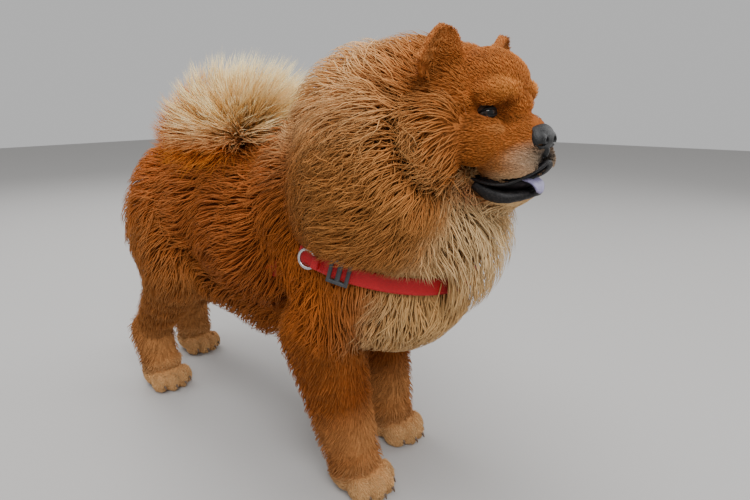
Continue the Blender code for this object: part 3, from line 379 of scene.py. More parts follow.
# Patches laid over the coat's colours: the coat's own markings, and painted shade round the eyes.
MARKINGS_AND_PAINTED_SHADE = [
    *marking_or_shade_pair((0.115, -0.250, 0.330), (0.070, 0.090, 0.090), tone(178, 96, 34), 0.85),
    MarkingOrPaintedShade((-0.082, -0.325, 0.165), (0.040, 0.045, 0.040), tone(126, 62, 22), 0.55),
    MarkingOrPaintedShade((0.082, -0.285, 0.150), (0.045, 0.050, 0.050), tone(150, 84, 36), 0.50),
    MarkingOrPaintedShade((0, -0.462, 0.375), (0.100, 0.070, 0.080), tone(224, 194, 146), 0.80),
    MarkingOrPaintedShade((0, -0.400, 0.300), (0.100, 0.080, 0.050), tone(208, 164, 106), 0.60),
    *marking_or_shade_pair((0.045, -0.456, 0.5235), (0.017, 0.017, 0.0075), tone(222, 166, 98), 0.85),
    *marking_or_shade_pair((0.033, -0.466, 0.569), (0.020, 0.020, 0.012), tone(214, 142, 70), 0.65),
    *marking_or_shade_pair((0.050, -0.440, 0.452), (0.026, 0.030, 0.026), tone(138, 70, 30), 0.80),
    # Painted shade: darker hair in the furrow at each eye's inner corner, and in the socket round each eye.
    *marking_or_shade_pair((0.028, -0.470, 0.549), (0.010, 0.012, 0.018), tone(118, 58, 22), 0.70),
    *marking_or_shade_pair((0.050, -0.452, 0.541), (0.016, 0.016, 0.012), tone(124, 62, 24), 0.55),
    MarkingOrPaintedShade((0, -0.504, 0.489), (0.050, 0.032, 0.021), tone(200, 182, 156), 0.85),
    *marking_or_shade_pair((0.040, -0.482, 0.471), (0.012, 0.024, 0.010), tone(202, 172, 134), 0.65),
    MarkingOrPaintedShade((0, -0.510, 0.493), (0.040, 0.027, 0.016), tone(34, 29, 28), 0.97),
    MarkingOrPaintedShade((0, -0.470, 0.430), (0.040, 0.040, 0.016), tone(212, 178, 130), 0.70),
    *marking_or_shade_pair((0.120, -0.355, 0.470), (0.040, 0.050, 0.060), tone(196, 138, 78), 0.35),
    MarkingOrPaintedShade((-0.090, -0.120, 0.200), (0.080, 0.060, 0.070), tone(150, 78, 26), 0.55),
    MarkingOrPaintedShade((0, 0.190, 0.440), (0.110, 0.070, 0.060), tone(190, 106, 38), 0.60),
    *marking_or_shade_pair((0.140, -0.235, 0.440), (0.090, 0.060, 0.110), tone(150, 82, 32), 0.85),
    MarkingOrPaintedShade((0, -0.215, 0.560), (0.090, 0.050, 0.060), tone(178, 108, 50), 0.60),
] + [
    MarkingOrPaintedShade((leg.paw_x, leg.paw_y, 0.085), (0.070, 0.080, 0.046), tone(188, 132, 80), 0.75)
    for leg in LEGS
]


def deselect() -> None:
    """Clear the selection, as a new mesh operator acts on all that is selected."""
    for obj in bpy.context.selected_objects:
        obj.select_set(False)


def from_bmesh(name: str, bm: bmesh.types.BMesh) -> Object:
    """Turn a bmesh into an object at the origin.

    Args:
        name: The object's name.
        bm: The mesh, which is freed.

    Returns:
        The object, linked to the scene.
    """
    mesh = bpy.data.meshes.new(name)
    bm.to_mesh(mesh)
    bm.free()
    obj = bpy.data.objects.new(name, mesh)
    bpy.context.scene.collection.objects.link(obj)
    return obj


def make_active(obj: Object) -> None:
    """Select one object alone and make it the active one.

    Args:
        obj: The object to work on.
    """
    deselect()
    obj.select_set(True)
    bpy.context.view_layer.objects.active = obj


def apply_all(obj: Object) -> None:
    """Apply each modifier of an object in turn.

    Args:
        obj: The object to work on.
    """
    make_active(obj)
    for modifier in list(obj.modifiers):
        bpy.ops.object.modifier_apply(modifier=modifier.name)


def join(objects: list[Object], name: str) -> Object:
    """Join pieces into one object.

    Args:
        objects: The pieces, of which the first stays.
        name: The new name.

    Returns:
        The joined object.
    """
    make_active(objects[0])
    for obj in objects[1:]:
        obj.select_set(True)
    bpy.ops.object.join()
    objects[0].name = name
    return objects[0]


def cut(obj: Object, tools: list[Object]) -> None:
    """Cut closed shapes out of an object and remove them.

    The coat's roots follow the order in which this solver leaves the skin's faces.

    Args:
        obj: The object that is changed, closed too.
        tools: The shapes that are cut out.
    """
    for tool in tools:
        modifier = obj.modifiers.new("cut", "BOOLEAN")
        modifier.operation = "DIFFERENCE"
        modifier.object = tool
        modifier.solver = "MANIFOLD"
        apply_all(obj)
        bpy.data.objects.remove(tool)


def ellipsoid(name: str, centre: Triple, radii: Triple, segments: int = 24) -> Object:
    """A closed ellipsoid, its place in its mesh.

    Args:
        name: The object's name.
        centre: The middle.
        radii: The three radii.
        segments: How finely it is divided.

    Returns:
        The object.
    """
    deselect()
    bpy.ops.mesh.primitive_uv_sphere_add(segments=segments, ring_count=segments // 2, radius=1.0)
    obj = bpy.context.object
    obj.name = name
    obj.data.transform(Matrix.LocRotScale(Vector(centre), None, Vector(radii)))
    return obj


def fused(name: str, masses: list[Mass], share: float, voxel: float, smooth: int,
          extra: list[Object] | None = None) -> Object:
    """One closed surface round the masses, drawn in to a share of the coat.

    Args:
        name: The object's name.
        masses: The ellipsoids.
        share: The part of the coat's depth that is kept.
        voxel: The size of the grid.
        smooth: How often the surface is relaxed.
        extra: Closed pieces that are fused with the masses.

    Returns:
        The object.
    """
    bm = bmesh.new()
    for mass in masses:
        radii = Vector([r - mass.bare(share) for r in mass.radii])
        bmesh.ops.create_icosphere(bm, subdivisions=3, radius=1.0,
                                   matrix=Matrix.LocRotScale(Vector(mass.centre), None, radii))
    obj = from_bmesh(name, bm)
    if extra:
        obj = join([obj] + extra, name)
    remesh = obj.modifiers.new("fuse", "REMESH")
    remesh.mode = "VOXEL"
    remesh.voxel_size = voxel
    soften = obj.modifiers.new("soften", "SMOOTH")
    soften.factor = 0.5
    soften.iterations = smooth
    apply_all(obj)
    return obj


def points_of(obj: Object) -> Array:
    """Where the points of a mesh lie.

    Args:
        obj: A mesh object with its place in its mesh.

    Returns:
        The places, one row each.
    """
    points = np.empty(len(obj.data.vertices) * 3, dtype=np.float32)
    obj.data.vertices.foreach_get("co", points)
    return points.reshape(-1, 3).astype(float)


def tree_of(obj: Object) -> BVHTree:
    """A search tree over a surface.

    Args:
        obj: A mesh object with its place in its mesh.

    Returns:
        The tree.
    """
    bm = bmesh.new()
    bm.from_mesh(obj.data)
    tree = BVHTree.FromBMesh(bm)
    bm.free()
    return tree


def sweep(name: str, rings: list[Line], closed: bool = False) -> Object:
    """Skin a tube over rings of equal count.

    Args:
        name: The object's name.
        rings: The corners of each ring.
        closed: Whether the last ring meets the first.

    Returns:
        The object, with a UV map along and across it.
    """
    bm = bmesh.new()
    rows = [[bm.verts.new(p) for p in ring] for ring in rings]
    count = len(rows[0])
    layer = bm.loops.layers.uv.new("Along")
    lengths = [0.0]
    middles = [sum(ring, Vector()) / count for ring in rings]
    for a, b in zip(middles, middles[1:] + middles[:1]):
        lengths.append(lengths[-1] + (b - a).length)
    spans = len(rows) if closed else len(rows) - 1
    for k in range(spans):
        a, b = rows[k], rows[(k + 1) % len(rows)]
        for i in range(count):
            j = (i + 1) % count
            face = bm.faces.new((a[i], a[j], b[j], b[i]))
            places = ((k, i), (k, i + 1), (k + 1, i + 1), (k + 1, i))
            for loop, (row, column) in zip(face.loops, places):
                loop[layer].uv = (lengths[row], column / count)
    if not closed:
        bm.faces.new(rows[0])
        bm.faces.new(rows[-1])
    bmesh.ops.recalc_face_normals(bm, faces=bm.faces)
    return from_bmesh(name, bm)


def smooth_line(points: Line, steps: int, closed: bool = False) -> Line:
    """A smooth line through points.

    Args:
        points: The points it passes through.
        steps: How many parts each span is divided into.
        closed: Whether the line is a loop.

    Returns:
        The finer points.
    """
    count = len(points)
    spans = count if closed else count - 1
    line = []
    for k in range(spans):
        if closed:
            p0, p1, p2, p3 = (points[(k + o) % count] for o in (-1, 0, 1, 2))
        else:
            p0, p1, p2, p3 = (points[min(max(k + o, 0), count - 1)] for o in (-1, 0, 1, 2))
        for i in range(steps):
            t = i / steps
            line.append(0.5 * (2 * p1 + (p2 - p0) * t + (2 * p0 - 5 * p1 + 4 * p2 - p3) * t * t
                               + (3 * p1 - p0 - 3 * p2 + p3) * t ** 3))
    if not closed:
        line.append(points[-1].copy())
    return line


def rod(name: str, points: Line, widths: list[float], heights: list[float],
        sides: int = 12) -> Object:
    """A bent rod of elliptical section along points.

    Args:
        name: The object's name.
        points: Its middle line.
        widths: Half its width at each point.
        heights: Half its height at each point.
        sides: How many corners its section has.

    Returns:
        The object.
    """
    rings = []
    for k, p in enumerate(points):
        ahead = (points[min(k + 1, len(points) - 1)] - points[max(k - 1, 0)]).normalized()
        across = ahead.cross(Vector((0, 0, 1)))
        if across.length < 0.2:
            across = ahead.cross(Vector((0, -1, 0)))
        across.normalize()
        up = across.cross(ahead)
        turns = [2 * math.pi * i / sides for i in range(sides)]
        rings.append([p + across * widths[k] * math.cos(a) + up * heights[k] * math.sin(a) for a in turns])
    return sweep(name, rings)


def ripple(points: Array, scale: float, seed: int) -> Array:
    """Smooth noise from a few crossing waves.

    Args:
        points: Places, one row each.
        scale: The size of a ripple.
        seed: Picks the waves.

    Returns:
        A value from about -1 to 1 at each place.
    """
    rng = np.random.default_rng(seed)
    ways = rng.normal(size=(7, 3))
    ways /= np.linalg.norm(ways, axis=1, keepdims=True)
    speeds = rng.uniform(0.6, 1.6, 7)
    phases = rng.uniform(0, 2 * math.pi, 7)
    waves = np.sin((points @ ways.T) * speeds * (2 * math.pi / scale) + phases)
    return waves.sum(axis=1) / 3.2


class Growth:
    """The lie, style and colours of the coat, blended over the body from its masses."""

    BATCH = 20000
    SHARPNESS = 12
    PATCH_REACH = 1.35

    def __init__(self, masses: list[Mass]) -> None:
        """Gather the masses in arrays.

        Args:
            masses: All the masses that carry hair.
        """
        self.centres = np.array([m.centre for m in masses], dtype=float)
        self.radii = np.array([m.radii for m in masses]) - np.array([[m.bare(CORE_SHARE)] for m in masses])
        self.lies = np.array([Vector(m.lie).normalized() for m in masses], dtype=float)
        self.styles = np.array([m.hair.value.row() for m in masses], dtype=float)

    def blend(self, points: Array) -> tuple[Array, Array]:
        """Blend the masses near each point.

        Args:
            points: Places, one row each.

        Returns:
            The lie and the style's row at each place.
        """
        lies = np.zeros((len(points), 3))
        styles = np.zeros((len(points), self.styles.shape[1]))
        for start in range(0, len(points), self.BATCH):
            batch = slice(start, start + self.BATCH)
            scaled = (points[batch, None, :] - self.centres[None]) / self.radii[None]
            off = np.abs(np.linalg.norm(scaled, axis=2) - 1.0)
            weight = np.exp(-self.SHARPNESS * off)
            weight /= weight.sum(axis=1, keepdims=True)
            lies[batch] = weight @ self.lies
            styles[batch] = weight @ self.styles
        lies /= np.linalg.norm(lies, axis=1, keepdims=True) + 1e-9
        return lies, styles

    def mark(self, points: Array, colours: Array) -> Array:
        """Lay the coat's markings and the painted shade round the eyes over colours.

        Args:
            points: Places, one row each.
            colours: The colour at each place.

        Returns:
            The marked colours.
        """
        for laid_patch in MARKINGS_AND_PAINTED_SHADE:
            away = np.linalg.norm((points - np.array(laid_patch.centre)) / np.array(laid_patch.radii), axis=1)
            cover = laid_patch.strength * np.clip(self.PATCH_REACH - away, 0, 1)[:, None]
            colours = colours * (1 - cover) + np.array(laid_patch.colour) * cover
        return colours


class Unwrap:
    """A flat map of the body by its own limbs: round each one's axis, and along it.

    Each limb has its start, its way, its length and its radius, and a tile of the map.
    """

    COLUMNS, ROWS = 4, 2
    MARGIN = 0.03
    BEYOND = 0.4
    AXES = (
        ((0, -0.36, 0.54), (0, -1, -0.25), 0.16, 0.12),
        ((0, -0.42, 0.42), (0, 0.8, 0.5), 0.26, 0.20),
        ((0, -0.15, 0.37), (0, 1, 0), 0.40, 0.22),
        ((0, 0.16, 0.47), (0, -1, 0.1), 0.30, 0.14),
        ((-0.072, -0.27, 0.25), (0, 0, -1), 0.25, 0.08),
        ((0.072, -0.23, 0.25), (0, 0, -1), 0.25, 0.08),
        ((-0.074, 0.18, 0.27), (0, 0, -1), 0.27, 0.09),
        ((0.074, 0.24, 0.27), (0, 0, -1), 0.27, 0.09),
    )

    def place(self, points: Array) -> Array:
        """Lay points out on the map.

        Args:
            points: Places, one row each.

        Returns:
            Two map values for each place, from 0 to 1.
        """
        best = np.full(len(points), 1e9)
        flat = np.zeros((len(points), 2))
        for tile, (origin, way, length, radius) in enumerate(self.AXES):
            axis = np.array(Vector(way).normalized())
            side = np.array(Vector(way).orthogonal().normalized())
            up = np.cross(axis, side)
            local = points - np.array(origin)
            along = local @ axis
            x, y = local @ side, local @ up
            clamped = np.clip(along, 0, length)
            away = np.sqrt((along - clamped) ** 2 + x * x + y * y) / radius
            turn = np.arctan2(y, x) / (2 * math.pi) + 0.5
            share = np.clip(along / length, -self.BEYOND, 1 + self.BEYOND) + self.BEYOND
            share /= 1 + 2 * self.BEYOND
            row, column = divmod(tile, self.COLUMNS)
            inside = 1 - 2 * self.MARGIN
            u = (column + self.MARGIN + inside * turn) / self.COLUMNS
            v = (row + self.MARGIN + inside * share) / self.ROWS
            nearer = away < best
            best = np.where(nearer, away, best)
            flat[nearer] = np.stack([u, v], axis=1)[nearer]
        return flat


def fill(node: Node, values: dict[str, object]) -> None:
    """Set inputs of a shader node by their names."""
    for socket, value in values.items():
        node.inputs[socket].default_value = value


class Finish:
    """What all finishes share: a new material and its nodes."""

    @staticmethod
    def start(name: str) -> tuple[Material, NodeTree, Node]:
        """Make a material.

        Args:
            name: The material's name.

        Returns:
            The material, its node tree and its Principled shader.
        """
        material = bpy.data.materials.new(name)
        material.use_nodes = True
        return material, material.node_tree, material.node_tree.nodes["Principled BSDF"]

    @staticmethod
    def add_bump(tree: NodeTree, height: NodeSocket, surface: Node, strength: float, distance: float,
                 invert: bool = False) -> None:
        """Let a height tilt the surface.

        Args:
            tree: The material's nodes.
            height: The socket that gives the height.
            surface: The Principled shader.
            strength: How strongly it shows.
            distance: How deep it is.
            invert: Whether low stands for high.
        """
        bump = tree.nodes.new("ShaderNodeBump")
        bump.invert = invert
        fill(bump, {"Strength": strength, "Distance": distance})
        tree.links.new(height, bump.inputs["Height"])
        tree.links.new(bump.outputs["Normal"], surface.inputs["Normal"])


class Effects:
    """Node groups that more than one material uses."""

    def __init__(self) -> None:
        """Build the groups once."""
        self.mottle = self.make_mottle()

    @staticmethod
    def make_mottle() -> NodeTree:
        """Light and dark flecks over a colour, and a fine bump height.

        Returns:
            The node group.
        """
        group = bpy.data.node_groups.new("mottle", "ShaderNodeTree")
        face = group.interface
        colour, number = "NodeSocketColor", "NodeSocketFloat"
        for socket, kind in (("Colour", colour), ("Scale", number), ("Low", number), ("High", number)):
            face.new_socket(socket, in_out="INPUT", socket_type=kind)
        for socket, kind in (("Colour", colour), ("Height", number)):
            face.new_socket(socket, in_out="OUTPUT", socket_type=kind)
        entry = group.nodes.new("NodeGroupInput")
        exit_node = group.nodes.new("NodeGroupOutput")
        place = group.nodes.new("ShaderNodeTexCoord")
        noise = group.nodes.new("ShaderNodeTexNoise")
        fill(noise, {"Detail": 3.0})
        stretch = group.nodes.new("ShaderNodeMapRange")
        fill(stretch, {"From Min": 0.3, "From Max": 0.7})
        value = group.nodes.new("ShaderNodeHueSaturation")
        link = group.links.new
        link(place.outputs["Object"], noise.inputs["Vector"])
        link(entry.outputs["Scale"], noise.inputs["Scale"])
        link(noise.outputs["Fac"], stretch.inputs["Value"])
        link(entry.outputs["Low"], stretch.inputs["To Min"])
        link(entry.outputs["High"], stretch.inputs["To Max"])
        link(entry.outputs["Colour"], value.inputs["Color"])
        link(stretch.outputs["Result"], value.inputs["Value"])
        link(value.outputs["Color"], exit_node.inputs["Colour"])
        link(noise.outputs["Fac"], exit_node.inputs["Height"])
        return group

    def place_mottle(self, tree: NodeTree, values: dict[str, object]) -> Node:
        """Put the mottle among a material's nodes.

        Args:
            tree: The material's nodes.
            values: The mottle's inputs by name.

        Returns:
            The group's node.
        """
        mottle = tree.nodes.new("ShaderNodeGroup")
        mottle.node_tree = self.mottle
        fill(mottle, values)
        return mottle


@dataclass(frozen=True)
class FurFinish(Finish):
    """Hair or skin whose colour is carried by its own attribute."""

    name: str
    roughness: float
    scale: float
    contrast: float
    bump: float

    def make(self, effects: Effects) -> Material:
        """Build the material.

        Args:
            effects: The shared node groups.

        Returns:
            The material.
        """
        material, tree, surface = self.start(self.name)
        colour = tree.nodes.new("ShaderNodeAttribute")
        colour.attribute_name = "coat_colour"
        mottle = effects.place_mottle(tree, {"Scale": self.scale, "Low": 1.0 - self.contrast,
                                             "High": 1.0 + self.contrast})
        tree.links.new(colour.outputs["Color"], mottle.inputs["Colour"])
        tree.links.new(mottle.outputs["Colour"], surface.inputs["Base Color"])
        if self.bump:
            self.add_bump(tree, mottle.outputs["Height"], surface, self.bump, 0.001)
        fill(surface, {"Roughness": self.roughness, "Specular IOR Level": 0.10})
        return material


@dataclass(frozen=True)
class WetFinish(Finish):
    """Bare moist skin: the nose, lips, lids, tongue and the inside of the mouth."""

    name: str
    colour: Triple
    second: Triple
    roughness: float
    shine: float
    scale: float
    bump: float
    cells: bool

    def make(self) -> Material:
        """Build the material.

        Returns:
            The material, pebbled or softly rough.
        """
        material, tree, surface = self.start(self.name)
        place = tree.nodes.new("ShaderNodeTexCoord")
        pattern = tree.nodes.new("ShaderNodeTexVoronoi" if self.cells else "ShaderNodeTexNoise")
        fill(pattern, {"Scale": self.scale})
        spots = tree.nodes.new("ShaderNodeTexNoise")
        fill(spots, {"Scale": self.scale * 0.45, "Detail": 4.0})
        ramp = tree.nodes.new("ShaderNodeValToRGB")
        for k, (position, colour) in enumerate(((0.46, self.colour), (0.66, self.second))):
            ramp.color_ramp.elements[k].position = position
            ramp.color_ramp.elements[k].color = (*colour, 1)
        link = tree.links.new
        link(place.outputs["Object"], pattern.inputs["Vector"])
        link(place.outputs["Object"], spots.inputs["Vector"])
        link(spots.outputs["Fac"], ramp.inputs["Fac"])
        link(ramp.outputs["Color"], surface.inputs["Base Color"])
        height = pattern.outputs["Distance" if self.cells else "Fac"]
        self.add_bump(tree, height, surface, self.bump, 0.0008)
        fill(surface, {"Roughness": self.roughness, "Specular IOR Level": self.shine})
        return material


@dataclass(frozen=True)
class EyeFinish(Finish):
    """A dark brown iris round a black pupil, under a wet surface."""

    name: str
    iris: Triple
    white: Triple

    def make(self, centre: Vector, facing: Vector, radius: float) -> Material:
        """Build the material for one eye.

        Args:
            centre: The middle of the eyeball.
            facing: The way it looks.
            radius: The eyeball's radius.

        Returns:
            The material.
        """
        material, tree, surface = self.start(self.name)
        place = tree.nodes.new("ShaderNodeTexCoord")
        away = tree.nodes.new("ShaderNodeVectorMath")
        away.operation = "DISTANCE"
        away.inputs[1].default_value = centre + facing * radius
        spread = tree.nodes.new("ShaderNodeMapRange")
        fill(spread, {"From Max": radius})
        ramp = tree.nodes.new("ShaderNodeValToRGB")
        stops = ramp.color_ramp.elements
        edge = tuple(channel * 0.3 for channel in self.iris)
        rings = ((0.30, (0.002, 0.002, 0.002)), (0.36, self.iris), (0.66, edge), (0.80, self.white))
        for k, (position, colour) in enumerate(rings):
            stop = stops[k] if k < 2 else stops.new(position)
            stop.position = position
            stop.color = (*colour, 1)
        link = tree.links.new
        link(place.outputs["Object"], away.inputs[0])
        link(away.outputs["Value"], spread.inputs["Value"])
        link(spread.outputs["Result"], ramp.inputs["Fac"])
        link(ramp.outputs["Color"], surface.inputs["Base Color"])
        fill(surface, {"Roughness": 0.08, "Specular IOR Level": 0.45})
        return material


@dataclass(frozen=True)
class WebbingFinish(Finish):
    """Woven nylon webbing, its weave laid along the strap by the UV map."""

    name: str
    colour: Triple
    dark: Triple
    pitch: float
    rows: float = 56.0

    def make(self) -> Material:
        """Build the material.

        Returns:
            The material.
        """
        material, tree, surface = self.start(self.name)
        along = tree.nodes.new("ShaderNodeUVMap")
        along.uv_map = "Along"
        scale = tree.nodes.new("ShaderNodeMapping")
        fill(scale, {"Scale": (1 / self.pitch, self.rows, 1.0)})
        weave = tree.nodes.new("ShaderNodeTexBrick")
        weave.offset = 0.5
        fill(weave, {"Scale": 1.0, "Mortar Size": 0.10, "Mortar Smooth": 0.8, "Brick Width": 1.0,
                     "Row Height": 1.0, "Color1": (*self.colour, 1),
                     "Color2": (*[c * 0.80 for c in self.colour], 1), "Mortar": (*self.dark, 1)})
        link = tree.links.new
        link(along.outputs["UV"], scale.inputs["Vector"])
        link(scale.outputs["Vector"], weave.inputs["Vector"])
        link(weave.outputs["Color"], surface.inputs["Base Color"])
        self.add_bump(tree, weave.outputs["Fac"], surface, 0.5, 0.0005, invert=True)
        fill(surface, {"Roughness": 0.60})
        return material


@dataclass(frozen=True)
class HardFinish(Finish):
    """Plated wire or moulded plastic, with fine wear."""

    name: str
    colour: Triple
    roughness: float
    metallic: float
    grain: float

    def make(self, effects: Effects) -> Material:
        """Build the material.

        Args:
            effects: The shared node groups.

        Returns:
            The material.
        """
        material, tree, surface = self.start(self.name)
        mottle = effects.place_mottle(tree, {"Colour": (*self.colour, 1), "Scale": self.grain,
                                             "Low": 0.85, "High": 1.12})
        wear = tree.nodes.new("ShaderNodeMapRange")
        fill(wear, {"To Min": self.roughness * 0.7, "To Max": self.roughness * 1.4})
        link = tree.links.new
        link(mottle.outputs["Colour"], surface.inputs["Base Color"])
        link(mottle.outputs["Height"], wear.inputs["Value"])
        link(wear.outputs["Result"], surface.inputs["Roughness"])
        self.add_bump(tree, mottle.outputs["Height"], surface, 0.12, 0.0003)
        fill(surface, {"Metallic": self.metallic})
        return material


def name_weave_map(obj: Object) -> None:
    """Give a block's own UV map the name that the webbing's weave reads."""
    layer = obj.data.uv_layers.active or obj.data.uv_layers.new(name="Along")
    layer.name = "Along"


def finish_piece(obj: Object, material: Material | None, slot: str,
                 *nodes: str) -> None:
    """Move a piece into the frame, dress it, and let it ride and stand for its nodes.

    Args:
        obj: The piece, its place in its mesh.
        material: Its material, or None where its faces have theirs.
        slot: The record's material slot; not used.
        nodes: The nodes that it stands for.
    """
    obj.data.transform(Matrix.Translation(FRAME_SHIFT))
    if material is not None:
        obj.data.materials.clear()
        obj.data.materials.append(material)
    make_active(obj)
    bpy.ops.object.shade_smooth()
    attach(obj, "root")
    if nodes:
        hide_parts(*nodes)
    LOG.info("%s: %d faces", obj.name, len(obj.data.polygons))


@dataclass
class Ear:
    """A thick rounded ear with its cup to the front."""

    side: int
    height: float = 0.056
    half_width: float = 0.033
    depth: float = 0.017
    thick: float = 0.0090

    def axes(self) -> tuple[Vector, Vector, Vector, Vector]:
        """How the ear stands.

        Returns:
            The middle of its base, and the ways up, to the front and across.
        """
        up = Vector((0.14 * self.side, -0.28, 1)).normalized()
        front = Vector((0.30 * self.side, -1, -0.1))
        front = (front - up * front.dot(up)).normalized()
        return Vector((0.067 * self.side, -0.403, 0.587)), up, front, up.cross(front)

    def sheet(self) -> Object:
        """The ear's flesh as one closed sheet.

        Returns:
            The object.
        """
        base, up, front, across = self.axes()
        columns, rows = 13, 11
        bm = bmesh.new()
        faces = []
        for offset in (0.0, self.thick):
            sheet = []
            for r in range(rows):
                v = 0.99 * math.sin(0.5 * math.pi * r / (rows - 1))
                half = self.half_width * math.sqrt(1 - v ** 2.2) * min(1.0, 0.70 + 0.9 * v)
                line = []
                for c in range(columns):
                    u = -1 + 2 * c / (columns - 1)
                    bulge = -self.depth * (1 - u * u) * (1 - 0.55 * v) + offset
                    place = base + across * half * u + up * (self.height * v - 0.008) + front * bulge
                    line.append(bm.verts.new(place))
                sheet.append(line)
            faces.append(sheet)
        back, fore = faces
        for r in range(rows - 1):
            for c in range(columns - 1):
                bm.faces.new((back[r][c], back[r][c + 1], back[r + 1][c + 1], back[r + 1][c]))
                bm.faces.new((fore[r][c], fore[r + 1][c], fore[r + 1][c + 1], fore[r][c + 1]))
        rim = [(0, c) for c in range(columns)] + [(r, columns - 1) for r in range(1, rows)]
        rim += [(rows - 1, c) for c in range(columns - 2, -1, -1)]
        rim += [(r, 0) for r in range(rows - 2, 0, -1)]
        for k, (r, c) in enumerate(rim):
            r2, c2 = rim[(k + 1) % len(rim)]
            bm.faces.new((back[r][c], back[r2][c2], fore[r2][c2], fore[r][c]))
        bmesh.ops.recalc_face_normals(bm, faces=bm.faces)
        return from_bmesh("ear", bm)

    def masses(self) -> list[Mass]:
        """The ear's place in the blending of the coat, short-haired right to its rim.

        Returns:
            The masses, which carry hair and are never fused.
        """
        base, up, _, _ = self.axes()
        lie = up + Vector((0.15 * self.side, 0.25, 0))
        places = [base + up * self.height * share for share in (0.42, 0.66, 0.90)]
        radii = (0.031, 0.020, 0.020)
        return [Mass(tuple(place), radii, 0.006, tuple(lie), Hair.EAR) for place in places]


